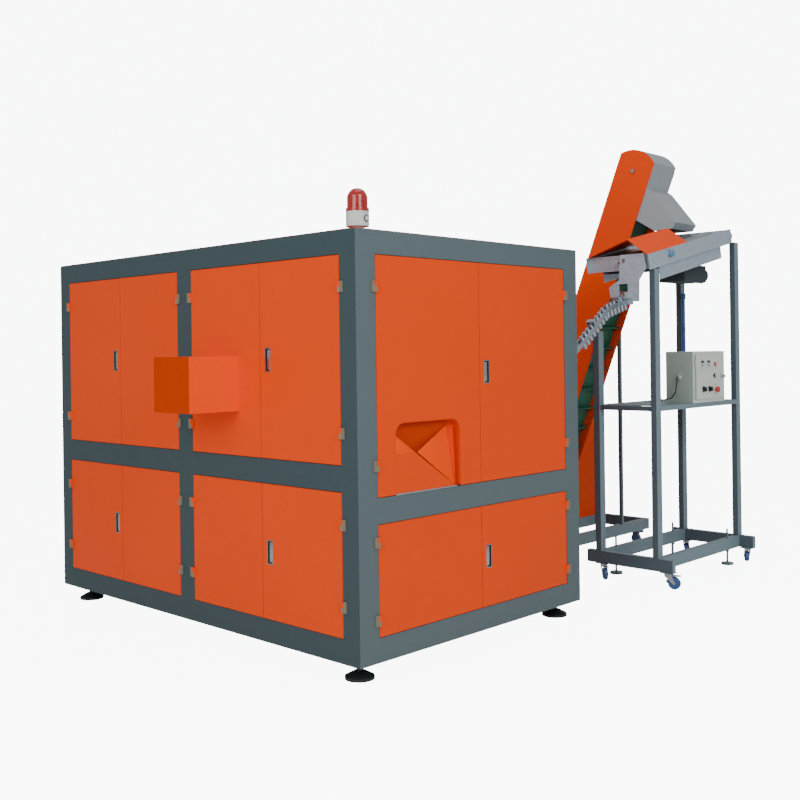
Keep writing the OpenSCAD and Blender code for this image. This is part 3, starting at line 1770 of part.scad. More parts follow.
stand_caster_wheel(0);  // stand_caster_wheel_1
stand_caster_wheel(1);  // stand_caster_wheel_2
stand_caster_wheel(2);  // stand_caster_wheel_3
stand_caster_wheel(3);  // stand_caster_wheel_4
sorter_trough();
sorter_roller(roller_x[0]);  // sorter_roller_1
sorter_roller(roller_x[1]);  // sorter_roller_2
sorter_cover();
sorter_gearmotor();
infeed_rails();
service_lines();
control_box();
control_box_door();
estop_button();
selector_knob(knob_shares[0]);  // selector_knob_1
selector_knob(knob_shares[1]);  // selector_knob_2
elevator_side_plates();
elevator_belt();
drum(elevator_l);  // elevator_drive_drum
drum(0);  // elevator_tail_drum
elevator_chute();
elevator_gearmotor();
elevator_frame();
elevator_hopper();
elevator_wheels(base_wheel_x[0]);  // elevator_wheels_1
elevator_wheels(base_wheel_x[1]);  // elevator_wheels_2
hopper_vibrator();
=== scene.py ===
"""Looks of the bottle blow moulding machine: cabinet, sorter on its stand, belt elevator."""

import math

import bmesh
import bpy
from mathutils import Matrix, Vector


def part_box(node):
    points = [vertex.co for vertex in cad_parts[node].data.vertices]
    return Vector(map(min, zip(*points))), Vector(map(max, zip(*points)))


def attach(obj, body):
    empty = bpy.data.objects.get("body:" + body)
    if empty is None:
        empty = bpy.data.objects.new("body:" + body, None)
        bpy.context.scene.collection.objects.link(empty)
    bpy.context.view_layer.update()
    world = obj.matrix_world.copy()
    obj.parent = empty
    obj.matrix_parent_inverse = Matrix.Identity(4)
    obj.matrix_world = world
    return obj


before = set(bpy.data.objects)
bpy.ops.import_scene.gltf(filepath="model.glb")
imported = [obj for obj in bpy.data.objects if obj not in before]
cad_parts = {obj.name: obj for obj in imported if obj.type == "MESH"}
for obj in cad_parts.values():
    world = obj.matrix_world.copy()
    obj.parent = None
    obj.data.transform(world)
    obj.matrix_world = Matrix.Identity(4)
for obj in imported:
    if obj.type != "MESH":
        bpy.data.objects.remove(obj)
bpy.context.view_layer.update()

# The corner of the cabinet's frame, in metres: pad inset, pad inset and foot height
CORNER = Vector((0.110, -0.100, 0.085))

# Camera: place, heading and roll solved from the photograph's edges, in its 800 pixel frame
CAMERA_PLACE = (3.529, -3.361, 1.521)
HEADING = math.radians(43.96)
ROLL = math.radians(-0.759)
FOCAL_PX = 1044.8
HORIZON_PX = 351.2
IMAGE_PX = 800
SENSOR = 36.0
CLIP_END = 60.0
QUARTER_TURN = math.radians(90)

# Studio: what lights the object, and what the camera sees behind it
WORLD_LIGHT = 0.5
WORLD_TINT = (0.95, 0.96, 0.98, 1)
BACKDROP_GLOW = 9.5
FLOOR_GLOW = 9.0
GLOW_TINT = (0.97, 0.985, 1.0, 1)
NO_GLOW = (0, 0, 0, 1)
FLOOR_SIZE = 60.0
FLOOR_DARK = (0.80, 0.805, 0.81, 1)
FLOOR_LIGHT = (0.83, 0.835, 0.84, 1)

# Lamps: name, place, what it points at, side in metres and power in watts
LAMPS = (
    ("key", (7.0, -1.5, 5.0), (-0.2, 0.6, 1.0), 4.0, 300),
    ("front", (1.5, -7.5, 4.5), (-0.8, 0.3, 1.0), 5.0, 330),
    ("top", (0.0, 1.0, 8.0), (0.0, 1.0, 0.0), 5.0, 100),
)


def make_camera():
    data = bpy.data.cameras.new("camera")
    camera = bpy.data.objects.new("camera", data)
    bpy.context.scene.collection.objects.link(camera)
    data.sensor_width = SENSOR
    data.lens = SENSOR * FOCAL_PX / IMAGE_PX
    data.shift_y = (HORIZON_PX - IMAGE_PX / 2) / IMAGE_PX
    data.clip_end = CLIP_END
    turn = Matrix.Rotation(HEADING, 4, "Z") @ Matrix.Rotation(QUARTER_TURN, 4, "X")
    camera.matrix_world = (Matrix.Translation(CAMERA_PLACE) @ turn
                           @ Matrix.Rotation(ROLL, 4, "Z"))
    bpy.context.scene.camera = camera


make_camera()


class Shade:
    """A number in a node tree, with the usual operators and their reflected forms."""

    def __init__(self, wiring, socket):
        self.wiring = wiring
        self.socket = socket

    def _maths(self, kind, *others, clamp=False):
        node = self.wiring.node("ShaderNodeMath", dict(enumerate((self, *others))),
                                operation=kind, use_clamp=clamp)
        return Shade(self.wiring, node.outputs[0])

    def __add__(self, other):
        return self._maths("ADD", other)

    __radd__ = __add__

    def __sub__(self, other):
        return self._maths("SUBTRACT", other)

    def __rsub__(self, other):
        return self * -1.0 + other

    def __mul__(self, other):
        return self._maths("MULTIPLY", other)

    __rmul__ = __mul__

    def above(self, other):
        return self._maths("GREATER_THAN", other)

    def clamp(self):
        return self._maths("ADD", 0.0, clamp=True)


class Wiring:
    """A node tree, with one method that adds any node and one that feeds a socket."""

    def __init__(self, tree):
        self.tree = tree

    def node(self, kind, inputs=None, **settings):
        made = self.tree.nodes.new(kind)
        for key, value in settings.items():
            setattr(made, key, value)
        for key, value in (inputs or {}).items():
            self.feed(made.inputs[key], value)
        return made

    def feed(self, slot, value):
        if isinstance(value, Shade):
            self.tree.links.new(value.socket, slot)
        elif isinstance(value, bpy.types.NodeSocket):
            self.tree.links.new(value, slot)
        else:
            slot.default_value = value

    def seen(self):
        """1 where the camera looks at something directly: a white stage that lights nothing."""
        return self.node("ShaderNodeLightPath").outputs["Is Camera Ray"]


class Paint(Wiring):
    """One procedural material: a Principled shader with its inputs in Object coordinates."""

    def __init__(self, name):
        self.material = bpy.data.materials.new(name)
        self.material.use_nodes = True
        super().__init__(self.material.node_tree)
        self.shader = self.tree.nodes["Principled BSDF"]
        self.place = self.node("ShaderNodeTexCoord").outputs["Object"]

    def put(self, name, value):
        self.feed(self.shader.inputs[name], value)

    def noise(self, scale, detail=3.0, rough=0.5, stretch=None):
        place = self.place
        if stretch:
            mapping = self.node("ShaderNodeMapping", {"Vector": place, "Scale": stretch})
            place = mapping.outputs[0]
        made = self.node("ShaderNodeTexNoise", {"Vector": place, "Scale": scale,
                                                "Detail": detail, "Roughness": rough})
        return Shade(self, made.outputs["Fac"])

    def painted_shade_mask(self):
        """1 on faces that look along Y and 0 on the others, by the object's own normal: the mask
        of the painted shade on those sides.
        """
        normal = self.node("ShaderNodeTexCoord").outputs["Normal"]
        parts = self.node("ShaderNodeSeparateXYZ", {"Vector": normal})
        y = Shade(self, parts.outputs["Y"])
        return (y * y).above(0.5)

    def mix(self, factor, low, high):
        # Sockets 6 and 7 of a Mix node are its two colours
        return self.node("ShaderNodeMix", {0: factor, 6: low, 7: high},
                         data_type="RGBA").outputs[2]

    def bump(self, height, strength, depth, edge=0.0):
        """Grain of a depth in metres, and edges that shade as if rounded."""
        inputs = {"Height": height, "Strength": strength, "Distance": depth}
        if edge:
            inputs["Normal"] = self.node("ShaderNodeBevel", {"Radius": edge}, samples=4).outputs[0]
        self.put("Normal", self.node("ShaderNodeBump", inputs).outputs[0])


def linear(colour):
    """A hex colour, or a tuple that is linear already, as linear red, green, blue and alpha."""
    if isinstance(colour, tuple):
        return [*colour, 1.0]
    values = [int(colour[i:i + 2], 16) / 255 for i in (1, 3, 5)]
    return [v / 12.92 if v <= 0.04045 else ((v + 0.055) / 1.055) ** 2.4 for v in values] + [1.0]


def toned(base, gain, lift=0.0):
    """The same colour, lighter or darker."""
    return [min(1.0, c * gain + lift) for c in base[:3]] + [1.0]


def coat(name, colour, rough=0.42, peel=0.12, metal=0.0, front=None, gloss=0.12):
    """Powder coat or lacquer: faint orange peel, cloudy sheen and a little dust.

    front is a darker tone for the faces that look along Y: painted shade of those sides."""
    paint = Paint(name)
    cloud = paint.noise(scale=1.7, detail=4.0)
    fine = paint.noise(scale=900.0, detail=2.0)
    smudge = paint.noise(scale=5.5, detail=6.0, rough=0.62)
    base = linear(colour)
    tone = paint.mix(cloud, toned(base, 0.95), toned(base, 1.05))
    # Painted shade: faces that look along Y take the darker front tone
    if front:
        tone = paint.mix(paint.painted_shade_mask(), tone, linear(front))
    dust = (0.48 * (smudge - 0.56)).clamp()
    paint.put("Base Color", paint.mix(dust, tone, toned(base, 0.86, lift=0.01)))
    paint.put("Roughness", rough + 0.22 * (smudge - 0.5))
    paint.put("Metallic", metal)
    paint.put("Specular IOR Level", gloss)
    paint.bump(fine, strength=peel, depth=0.0006, edge=0.0015)
    return paint.material


def metal(name, colour, rough=0.3, grain=(1, 1, 40)):
    """Ground or zinc plated metal with a drawn grain."""
    paint = Paint(name)
    base = linear(colour)
    lines = paint.noise(scale=55.0, detail=4.0, rough=0.6, stretch=grain)
    cloud = paint.noise(scale=9.0, detail=5.0, rough=0.6)
    paint.put("Base Color", paint.mix(cloud, toned(base, 0.85), base))
    paint.put("Metallic", 1.0)
    paint.put("Roughness", rough + 0.22 * (lines - 0.5) + 0.15 * (cloud - 0.5))
    paint.bump(lines, strength=0.1, depth=0.0004, edge=0.0008)
    return paint.material


def spangle(name, colour):
    """Galvanised sheet with its crystals."""
    paint = Paint(name)
    base = linear(colour)
    cells = paint.node("ShaderNodeTexVoronoi", {"Vector": paint.place, "Scale": 70.0})
    split = paint.node("ShaderNodeSeparateColor", {"Color": cells.outputs["Color"]})
    crystal = Shade(paint, split.outputs[0])
    paint.put("Base Color", paint.mix(crystal, toned(base, 0.82), base))
    paint.put("Metallic", 0.35)
    paint.put("Roughness", 0.38 + 0.16 * crystal)
    paint.bump(crystal, strength=0.05, depth=0.0003, edge=0.0008)
    return paint.material


def plastic(name, colour, rough=0.4, grit=0.2, clear=0.0):
    """Moulded plastic or rubber with a fine grit, and a clear gloss where it is polished."""
    paint = Paint(name)
    base = linear(colour)
    fine = paint.noise(scale=1400.0, detail=2.0)
    smudge = paint.noise(scale=22.0, detail=5.0, rough=0.6)
    paint.put("Base Color", paint.mix(smudge, toned(base, 0.86), toned(base, 1.12)))
    paint.put("Roughness", rough + 0.2 * (smudge - 0.5))
    paint.put("Coat Weight", clear)
    paint.bump(fine, strength=grit, depth=0.0003, edge=0.0008)
    return paint.material


def lines_coat(name, left_colour, right_colour, split):
    """Hose and lead of one node: left of the split in X one colour, right of it the other."""
    paint = Paint(name)
    parts = paint.node("ShaderNodeSeparateXYZ", {"Vector": paint.place})
    right = Shade(paint, parts.outputs["X"]).above(split)
    smudge = paint.noise(scale=40.0, detail=4.0, rough=0.6)
    paint.put("Base Color", paint.mix(right, linear(left_colour), linear(right_colour)))
    paint.put("Roughness", 0.4 + 0.2 * (smudge - 0.5))
    paint.bump(smudge, strength=0.1, depth=0.0003)
    return paint.material


def glass(name, colour):
    """Translucent moulded lens of a slightly uneven thickness."""
    paint = Paint(name)
    base = linear(colour)
    cloud = paint.noise(scale=30.0, detail=2.0)
    paint.put("Base Color", paint.mix(cloud, toned(base, 0.8), base))
    paint.put("Roughness", 0.08 + 0.08 * cloud)
    paint.put("Alpha", 0.8 + 0.1 * cloud)
    paint.put("Coat Weight", 0.6)
    paint.bump(cloud, strength=0.05, depth=0.0005)
    return paint.material


# The orange, a lit copy of it that is painted light, and a shaded copy that is painted shade
ORANGE = (0.85, 0.063, 0.0)
LIT_ORANGE = (1.0, 0.075, 0.0)
SHADED_ORANGE = (0.55, 0.042, 0.0)

MATERIALS = {
    "orange_front": coat("orange_front", ORANGE),
    # Shaded and lit copies of the orange: painted shade and painted light on the outlet pocket's
    # sheets
    "orange_painted_shade": coat("orange_painted_shade", SHADED_ORANGE),
    "orange_painted_light": coat("orange_painted_light", LIT_ORANGE, gloss=0.02),
    # Console, frame, stand and control box: faces that look along Y take a darker front tone,
    # painted shade of those sides; the console's other faces take the lit orange, painted light
    "console_orange": coat("console_orange", LIT_ORANGE, front=SHADED_ORANGE, gloss=0.02),
    "frame_grey": coat("frame_grey", "#5a696d", rough=0.5, front="#3e4e52", gloss=0.15),
    "beacon_white": coat("beacon_white", "#c9cfca", rough=0.35),
    "lamp_red": plastic("lamp_red", "#b3261c", rough=0.25, clear=0.5),
    "display": plastic("display", "#4a1a1e", rough=0.15, clear=0.6),
    "machine_grey": coat("machine_grey", "#9aa2a6", rough=0.5),
    "stand_grey": coat("stand_grey", "#788c94", rough=0.42, front="#4c5b64", gloss=0.25),
    "motor_grey": coat("motor_grey", "#3f484c", rough=0.5, peel=0.3),
    "box_grey": coat("box_grey", "#d5dbd2", rough=0.5, peel=0.2, front="#93a39a"),
    "hood_grey": coat("hood_grey", "#a3abb0", rough=0.35, metal=0.25, gloss=0.4),
    "hinge_beige": coat("hinge_beige", "#8a7f6b", rough=0.4, metal=0.3),
    "zinc": metal("zinc", "#b4b9bd", rough=0.32),
    "ground_steel": metal("ground_steel", "#b8bdc1", rough=0.24),
    "bright_sheet": metal("bright_sheet", "#cfd3d6", rough=0.2),
    "galvanised": spangle("galvanised", "#b4c3cf"),
    "mould_metal": metal("mould_metal", "#b3b8bb", rough=0.3, grain=(40, 1, 1)),
    "black_plastic": plastic("black_plastic", "#1d2023"),
    "caster_blue": plastic("caster_blue", "#34558f", rough=0.38),
    "belt_green": plastic("belt_green", "#1d6a50", rough=0.55, grit=0.4),
    "red_plastic": plastic("red_plastic", "#c5221c", rough=0.25, clear=0.4),
    "beacon_red": glass("beacon_red", "#b51a10"),
    "cap_blue": plastic("cap_blue", "#4f86a8", rough=0.3, clear=0.3),
    "rail_blue": metal("rail_blue", "#bcc8d2", rough=0.3),
    "hose_blue": lines_coat("hose_blue", "#2f5f9e", "#1d2023", split=-0.2),
}

NODE_MATERIALS = {
    "cabinet_frame": "frame_grey", "cabinet_panels": "orange_front",
    "machine_bed": "machine_grey", "levelling_feet": "black_plastic",
    "hinge_frame_leaves": "hinge_beige", "console_box": "console_orange",
    "outlet_chute": "orange_front", "beacon_base": "beacon_white",
    "beacon_lens": "beacon_red", "beacon_reflector": "bright_sheet",
    "oven_housing": "bright_sheet", "preform_carousel": "ground_steel",
    "mould_half_1": "mould_metal", "mould_half_2": "mould_metal",
    "stretch_rods": "ground_steel", "electrical_cabinet": "box_grey",
    "stand_frame": "stand_grey", "sorter_trough": "galvanised",
    "sorter_roller_1": "ground_steel", "sorter_roller_2": "ground_steel",
    "sorter_cover": "orange_front", "sorter_gearmotor": "motor_grey",
    "infeed_rails": "rail_blue", "service_lines": "hose_blue",
    "control_box": "box_grey", "control_box_door": "box_grey",
    "estop_button": "red_plastic", "selector_knob_1": "black_plastic",
    "selector_knob_2": "black_plastic", "elevator_side_plates": "orange_front",
    "elevator_belt": "belt_green", "elevator_drive_drum": "ground_steel",
    "elevator_tail_drum": "ground_steel", "elevator_chute": "hood_grey",
    "elevator_gearmotor": "motor_grey", "elevator_frame": "stand_grey",
    "elevator_hopper": "orange_front", "elevator_wheels_1": "caster_blue",
    "elevator_wheels_2": "caster_blue", "hopper_vibrator": "black_plastic",
}


def dress_nodes():
    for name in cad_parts:
        if "door_" in name and name != "control_box_door":
            kind = "orange_front"
        elif name.startswith("stand_caster_fork"):
            kind = "zinc"
        elif name.startswith("stand_caster_wheel"):
            kind = "caster_blue"
        else:
            kind = NODE_MATERIALS[name]
        for slot in bpy.data.objects[name].material_slots:
            slot.material = MATERIALS[kind]


dress_nodes()

ORIGIN = (0, 0, 0)
# A face looks a way if its normal's share along that way is above this
LOOKS = 0.9
SMOOTH_ANGLE = math.radians(35)


def corner(x, y, z):
    """A place in corner millimetres as a place in the row frame."""
    return CORNER + Vector((x, y, z)) / 1000


def start():
    bpy.ops.object.select_all(action="DESELECT")


def faces_where(obj, test):
    """Selects, in edit mode, only the faces whose middle and normal pass the test."""
    bpy.ops.object.mode_set(mode="EDIT")
    mesh = bmesh.from_edit_mesh(obj.data)
    for element in (mesh.verts, mesh.edges, mesh.faces):
        for item in element:
            item.select = False
    mesh.select_mode = {"FACE"}
    for face in mesh.faces:
        face.select_set(test(face.calc_center_median(), face.normal))
    bmesh.update_edit_mesh(obj.data)


def inset(width):
    bpy.ops.mesh.inset(thickness=width)


def extrude(move):
    bpy.ops.mesh.extrude_region_move(TRANSFORM_OT_translate={"value": move})


def done(obj, name, kinds, body, bevel=0.0, pick=None):
    """Bevels the edges, sets the materials, and lets the piece ride."""
    if obj.mode == "EDIT":
        bpy.ops.object.mode_set(mode="OBJECT")
    if bevel:
        edges = obj.modifiers.new("edges", "BEVEL")
        edges.width = bevel
        edges.segments = 2
        edges.limit_method = "ANGLE"
        bpy.ops.object.modifier_apply(modifier=edges.name)
    obj.name = obj.data.name = name
    for kind in kinds:
        obj.data.materials.append(MATERIALS[kind])
    for face in obj.data.polygons:
        face.material_index = pick(face.center, face.normal) if pick else 0
    bpy.ops.object.shade_smooth_by_angle(angle=SMOOTH_ANGLE)
    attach(obj, body)


def block(size, at):
    """A box from the primitive, size and middle in metres, with its place in its mesh."""
    start()
    bpy.ops.mesh.primitive_cube_add(size=1, location=ORIGIN)
    obj = bpy.context.object
    bpy.ops.object.mode_set(mode="EDIT")
    bpy.ops.mesh.select_all(action="SELECT")
    bpy.ops.transform.resize(value=size)
    bpy.ops.transform.translate(value=at)
    bpy.ops.object.mode_set(mode="OBJECT")
    return obj


def disc(radius, depth, about, at, sides):
    """A flat cylinder, laid down by a quarter turn about one axis, with its place in its mesh."""
    start()
    bpy.ops.mesh.primitive_cylinder_add(vertices=sides, radius=radius, depth=depth,
                                        location=ORIGIN)
    obj = bpy.context.object
    bpy.ops.object.mode_set(mode="EDIT")
    bpy.ops.mesh.select_all(action="SELECT")
    bpy.ops.transform.rotate(value=QUARTER_TURN, orient_axis=about, center_override=ORIGIN)
    bpy.ops.transform.translate(value=at)
    return obj


# Pulls: width, height and depth of the insert, then its rim, well and grip, in metres
PULL = (0.0445, 0.1205, 0.016)
PULL_RIM = 0.005
PULL_WELL = 0.012
PULL_GRIP_GAP = 0.005
PULL_GRIP_RISE = 0.007
PULL_BEVEL = 0.0012
# Below the first depth the insert is black, but for the grip's face, which is above the second
PULL_BRIGHT_TO = 0.0006
PULL_GRIP_TO = 0.0066

# Places of the pulls on the leaves, in corner millimetres
LEAF_FACE = 1.0
PULL_PROUD = 0.2
FRONT_PULLS = {"front_door_upper_1": (-2051, 1402), "front_door_upper_4": (-638, 1402),
               "front_door_lower_1": (-2051, 450), "front_door_lower_4": (-638, 450)}
END_PULLS = {"end_door_upper_2": 1325, "end_door_lower_2": 374}
END_PULL_Y = 928.5


def pull(at, out, body):
    """A recessed pull: bright rim, dark well and a pressed grip. out is the outward direction."""
    width, height, depth = PULL
    outward = Vector(out)
    size = (width, depth, height) if out[1] else (depth, width, height)
    obj = block(size, at - outward * depth / 2)
    faces_where(obj, lambda c, n: n.dot(outward) > LOOKS)
    inset(PULL_RIM)
    extrude(-outward * PULL_WELL)
    inset(PULL_GRIP_GAP)
    extrude(outward * PULL_GRIP_RISE)

    def pick(c, n):
        deep = (at - c).dot(outward)
        grip_face = deep < PULL_GRIP_TO and n.dot(outward) > LOOKS
        return 1 if deep > PULL_BRIGHT_TO and not grip_face else 0

    done(obj, "pull_" + body, ("ground_steel", "black_plastic"), body,
         PULL_BEVEL, pick)


def make_pulls():
    proud = LEAF_FACE + PULL_PROUD
    for node, (x, z) in FRONT_PULLS.items():
        pull(corner(x, proud, z), (0, -1, 0), node)
    for node, z in END_PULLS.items():
        pull(corner(-proud, END_PULL_Y, z), (1, 0, 0), node)


make_pulls()

# Outlet pocket, in corner millimetres: its near lower corner, width and height
END_LEAF_Y = 124.0
OUTLET_EDGE = 122.0
OUTLET_Y = END_LEAF_Y + OUTLET_EDGE
OUTLET_Z = 762.0
OUTLET_W = 466.0
OUTLET_H = 336.0

# Corners of its folded sheets: shares of width and height, and depth in millimetres
SLIDE_SHEET = ((0.325, 0.565, 2.5), (0.905, 0.02, 2.5), (0.875, 0.9, 44))
CORNER_SHEET = ((0.006, 0.555, -0.6), (0.285, 0.568, -0.6), (0.006, 0.80, -0.6))
BACK_SHEET = ((0.03, 0.84, 46), (0.12, 0.97, 46), (0.9, 0.97, 46), (0.9, 0.05, 46),
              (0.03, 0.05, 46))
SLIDE_T = 0.0016
SHEET_T = 0.0010
SHEET_BEVEL = 0.0003

# Sill strip and latch: size in metres, then middle in millimetres from the pocket's corner
SILL = (0.004, 0.432, 0.006)
SILL_PLACE = (216, 1)
LATCH = (0.005, 0.018, 0.009)
LATCH_PLACE = (452, 2)
SILL_PROUD = 0.4


def outlet_sheet(name, places, thickness, kind):
    """One flat panel of the pocket's folded sheet, with its corners and its own thickness."""
    start()
    bpy.ops.mesh.primitive_plane_add(size=1, location=ORIGIN)
    obj = bpy.context.object
    bpy.ops.object.mode_set(mode="EDIT")
    mesh = bmesh.from_edit_mesh(obj.data)
    mesh.clear()
    mesh.faces.new([mesh.verts.new(corner(-LEAF_FACE - deep, OUTLET_Y + y * OUTLET_W,
                                          OUTLET_Z + z * OUTLET_H)) for y, z, deep in places])
    mesh.normal_update()
    bmesh.update_edit_mesh(obj.data)
    bpy.ops.mesh.select_all(action="SELECT")
    bpy.ops.mesh.normals_make_consistent(inside=False)
    bpy.ops.object.mode_set(mode="OBJECT")
    body = obj.modifiers.new("body", "SOLIDIFY")
    body.thickness = thickness
    body.offset = 0
    bpy.ops.object.modifier_apply(modifier=body.name)
    done(obj, name, (kind,), "end_door_upper_1", SHEET_BEVEL)


def outlet_block(name, size, place, kind, bevel):
    along, up = place
    obj = block(size, corner(SILL_PROUD, OUTLET_Y + along, OUTLET_Z + up))
    done(obj, name, (kind,), "end_door_upper_1", bevel)


def make_outlet():
    # Slide and corner sheets take the lit orange, painted light; the back sheet takes the shaded
    # orange, painted shade of the pocket's inside
    outlet_sheet("outlet_slide_sheet", SLIDE_SHEET, SLIDE_T, "orange_painted_light")
    outlet_sheet("outlet_corner_sheet", CORNER_SHEET, SHEET_T, "orange_painted_light")
    outlet_sheet("outlet_back_sheet", BACK_SHEET, SHEET_T, "orange_painted_shade")
    outlet_block("outlet_sill_strip", SILL, SILL_PLACE, "rail_blue", 0.0006)
    outlet_block("outlet_latch", LATCH, LATCH_PLACE, "black_plastic", 0.001)


make_outlet()

CAP_SIDES = 40
CAP_RIM = 0.0025
CAP_BEVEL = 0.001


def cap(name, radius, depth, at, kind, body, rim=CAP_RIM):
    """A round cap that faces +X, with a chamfered rim and a shallow dish."""
    obj = disc(radius, depth, "Y", at + Vector((depth / 2, 0, 0)), CAP_SIDES)
    faces_where(obj, lambda c, n: n.x > LOOKS)
    inset(rim)
    extrude((-rim / 2, 0, 0))
    done(obj, name, (kind,), body, min(CAP_BEVEL, rim / 3))


# Control box door, in corner millimetres: outer face, near lower corner, width and height
BOX_SHELL_FACE = -2.0
BOX_DOOR_GAP = 0.5
BOX_DOOR_DEPTH = 12.0
BOX_FACE = BOX_SHELL_FACE + BOX_DOOR_GAP + BOX_DOOR_DEPTH
BOX_DOOR_Y = 3112.0
BOX_DOOR_Z = 1088.0
BOX_DOOR_W = 393.0
BOX_DOOR_H = 297.0

# Meters: places as shares of the door, sizes in metres, and how far their parts stand out
METER_SHARES = (0.18, 0.4)
METER_SHARE_UP = 0.8
METER = (0.009, 0.050, 0.050)
METER_MIDDLE_OUT = 4.5
METER_RIM = 0.004
METER_DISH = 0.0015
METER_BEVEL = 0.0008
DISPLAY = (0.002, 0.036, 0.015)
DISPLAY_OUT = 9.3
KEYS = (0.002, 0.032, 0.008)
KEYS_OUT = 9.0
DISPLAY_BEVEL = 0.0006
DISPLAY_RISE = Vector((0, 0, 0.012))

# Caps on the door: name, shares of width and height, radius, depth and material
DOOR_CAPS = (
    ("lamp_button_cap", 0.66, 0.78, 0.0135, 0.013, "lamp_red"),
    ("push_button_cap", 0.63, 0.52, 0.0135, 0.013, "black_plastic"),
    ("lock_collar", 0.89, 0.5, 0.0115, 0.007, "zinc"),
)
KNOB_SHARES = (0.25, 0.46)
KNOB_SHARE_UP = 0.22
KNOB_PLATE_R = 0.021
KNOB_PLATE_T = 0.0004
KNOB_PLATE_RIM = 0.001


def box_place(share_y, share_z, out=0.0):
    return corner(BOX_FACE + out, BOX_DOOR_Y + share_y * BOX_DOOR_W,
                  BOX_DOOR_Z + share_z * BOX_DOOR_H)


def make_meter(number, share):
    """Meter housing with a sunk face, its display above and its keys below."""
    door = "control_box_door"
    housing = block(METER, box_place(share, METER_SHARE_UP, METER_MIDDLE_OUT))
    faces_where(housing, lambda c, n: n.x > LOOKS)
    inset(METER_RIM)
    extrude((-METER_DISH, 0, 0))
    done(housing, f"meter_{number}", ("beacon_white",), door, METER_BEVEL)
    display = block(DISPLAY, box_place(share, METER_SHARE_UP, DISPLAY_OUT) + DISPLAY_RISE)
    done(display, f"meter_display_{number}", ("display",), door, DISPLAY_BEVEL)
    keys = block(KEYS, box_place(share, METER_SHARE_UP, KEYS_OUT) - DISPLAY_RISE)
    done(keys, f"meter_keys_{number}", ("hood_grey",), door, DISPLAY_BEVEL)


def make_box_details():
    door = "control_box_door"
    for number, share in enumerate(METER_SHARES, 1):
        make_meter(number, share)
    for name, share_y, share_z, radius, depth, kind in DOOR_CAPS:
        cap(name, radius, depth, box_place(share_y, share_z), kind, door)
    for number, share in enumerate(KNOB_SHARES, 1):
        cap(f"knob_plate_{number}", KNOB_PLATE_R, KNOB_PLATE_T, box_place(share, KNOB_SHARE_UP),
            "black_plastic", door, KNOB_PLATE_RIM)


make_box_details()

# Beacon on the roof's corner, in corner millimetres
FRAME_TOP = 2000.0
BEACON_X = -56.0
BEACON_Y = 72.0
BEACON_R = 54.0
BEACON_NECK_H = 12.0
BEACON_BASE_H = 68.0
SOCKET_PROUD = 4.0
BEAD_RISE = 8.0

# Its socket ring and the bead on the lens's flange, in metres
SOCKET_R = 0.0155
SOCKET_DEPTH = 0.0045
SOCKET_RIM = 0.004
BEAD_RING_R = 0.0535
BEAD_R = 0.0022
BEAD_FLATNESS = 0.7


def make_beacon():
    base_foot = FRAME_TOP + BEACON_NECK_H
    socket_at = corner(BEACON_X + BEACON_R + SOCKET_PROUD, BEACON_Y,
                       base_foot + BEACON_BASE_H / 2)
    cap("beacon_socket_ring", SOCKET_R, SOCKET_DEPTH, socket_at, "black_plastic",
        "machine", SOCKET_RIM)
    start()
    bpy.ops.mesh.primitive_torus_add(major_radius=BEAD_RING_R, minor_radius=BEAD_R,
                                     major_segments=64, minor_segments=10, location=ORIGIN)
    bead = bpy.context.object
    bpy.ops.object.mode_set(mode="EDIT")
    bpy.ops.mesh.select_all(action="SELECT")
    bpy.ops.transform.resize(value=(1, 1, BEAD_FLATNESS))
    bpy.ops.transform.translate(value=corner(BEACON_X, BEACON_Y,
                                             base_foot + BEACON_BASE_H + BEAD_RISE))
    done(bead, "beacon_flange_bead", ("lamp_red",), "machine")


make_beacon()

# Knob on the trough's side: its place in corner millimetres, then cap and collar in metres
KNOB_PLACE = (-2.0, 2803.9, 2043.2)
KNOB_CAP_R = 0.0208
KNOB_CAP_DEPTH = 0.0265
KNOB_CAP_RIM = 0.004
KNOB_COLLAR_R = 0.0245
KNOB_COLLAR_DEPTH = 0.006


def make_trough_details():
    knob = corner(*KNOB_PLACE)
    cap("trough_knob_cap", KNOB_CAP_R, KNOB_CAP_DEPTH, knob, "cap_blue",
        "machine", KNOB_CAP_RIM)
    cap("trough_knob_collar", KNOB_COLLAR_R, KNOB_COLLAR_DEPTH, knob, "zinc",
        "machine")


make_trough_details()

BEARING_SIDES = 48
BEARING_R = 0.028
BEARING_FLANGE = 0.006
BEARING_RIM = 0.008
BEARING_CAP = 0.009
BEARING_BEVEL = 0.001


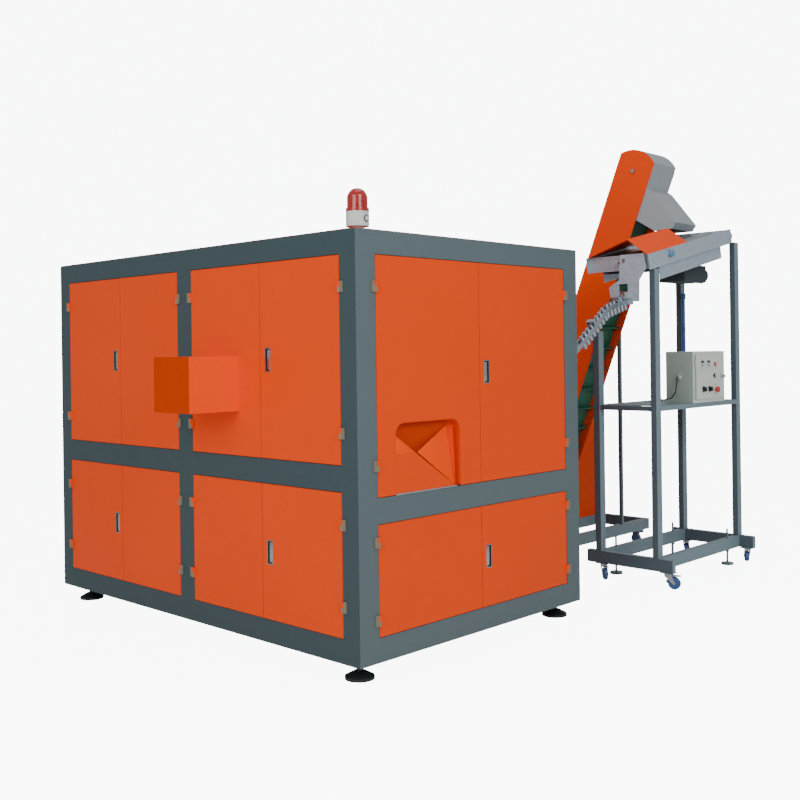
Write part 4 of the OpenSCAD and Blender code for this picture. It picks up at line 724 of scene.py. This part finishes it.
def make_tail_bearing():
    """Bearing flange with its grease cap on the near plate of the elevator, at the tail drum."""
    low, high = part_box("elevator_tail_drum")
    plate_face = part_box("elevator_side_plates")[0][1]
    at = ((low[0] + high[0]) / 2, plate_face - BEARING_FLANGE / 2, (low[2] + high[2]) / 2)
    flange = disc(BEARING_R, BEARING_FLANGE, "X", at, BEARING_SIDES)
    faces_where(flange, lambda c, n: n.y < -LOOKS)
    inset(BEARING_RIM)
    extrude((0, -BEARING_CAP, 0))
    done(flange, "elevator_tail_bearing", ("orange_front",), "machine",
         BEARING_BEVEL)


make_tail_bearing()


def make_floor():
    bpy.ops.mesh.primitive_plane_add(size=FLOOR_SIZE, location=ORIGIN)
    floor = bpy.context.object
    floor.name = "floor"
    paint = Paint("floor")
    cloud = paint.noise(scale=0.6, detail=3.0)
    paint.put("Base Color", paint.mix(cloud, FLOOR_DARK, FLOOR_LIGHT))
    paint.put("Roughness", 0.6 + 0.1 * cloud)
    paint.put("Emission Color", paint.mix(paint.seen(), NO_GLOW, GLOW_TINT))
    paint.put("Emission Strength", FLOOR_GLOW)
    floor.data.materials.append(paint.material)


def make_world():
    world = bpy.data.worlds.new("studio")
    bpy.context.scene.world = world
    world.use_nodes = True
    studio = Wiring(world.node_tree)
    light = studio.tree.nodes["Background"]
    studio.feed(light.inputs["Color"], WORLD_TINT)
    studio.feed(light.inputs["Strength"], WORLD_LIGHT)
    back = studio.node("ShaderNodeBackground", {"Color": GLOW_TINT, "Strength": BACKDROP_GLOW})
    both = studio.node("ShaderNodeMixShader", {0: studio.seen(), 1: light.outputs[0],
                                               2: back.outputs[0]})
    studio.feed(studio.tree.nodes["World Output"].inputs[0], both.outputs[0])


def make_lamp(name, place, aim, side, power):
    data = bpy.data.lights.new(name, "AREA")
    data.shape = "SQUARE"
    data.size = side
    data.energy = power
    lamp = bpy.data.objects.new(name, data)
    bpy.context.scene.collection.objects.link(lamp)
    lamp.location = place
    lamp.rotation_euler = (Vector(aim) - Vector(place)).to_track_quat("-Z", "Y").to_euler()


make_floor()
make_world()
for lamp_values in LAMPS:
    make_lamp(*lamp_values)
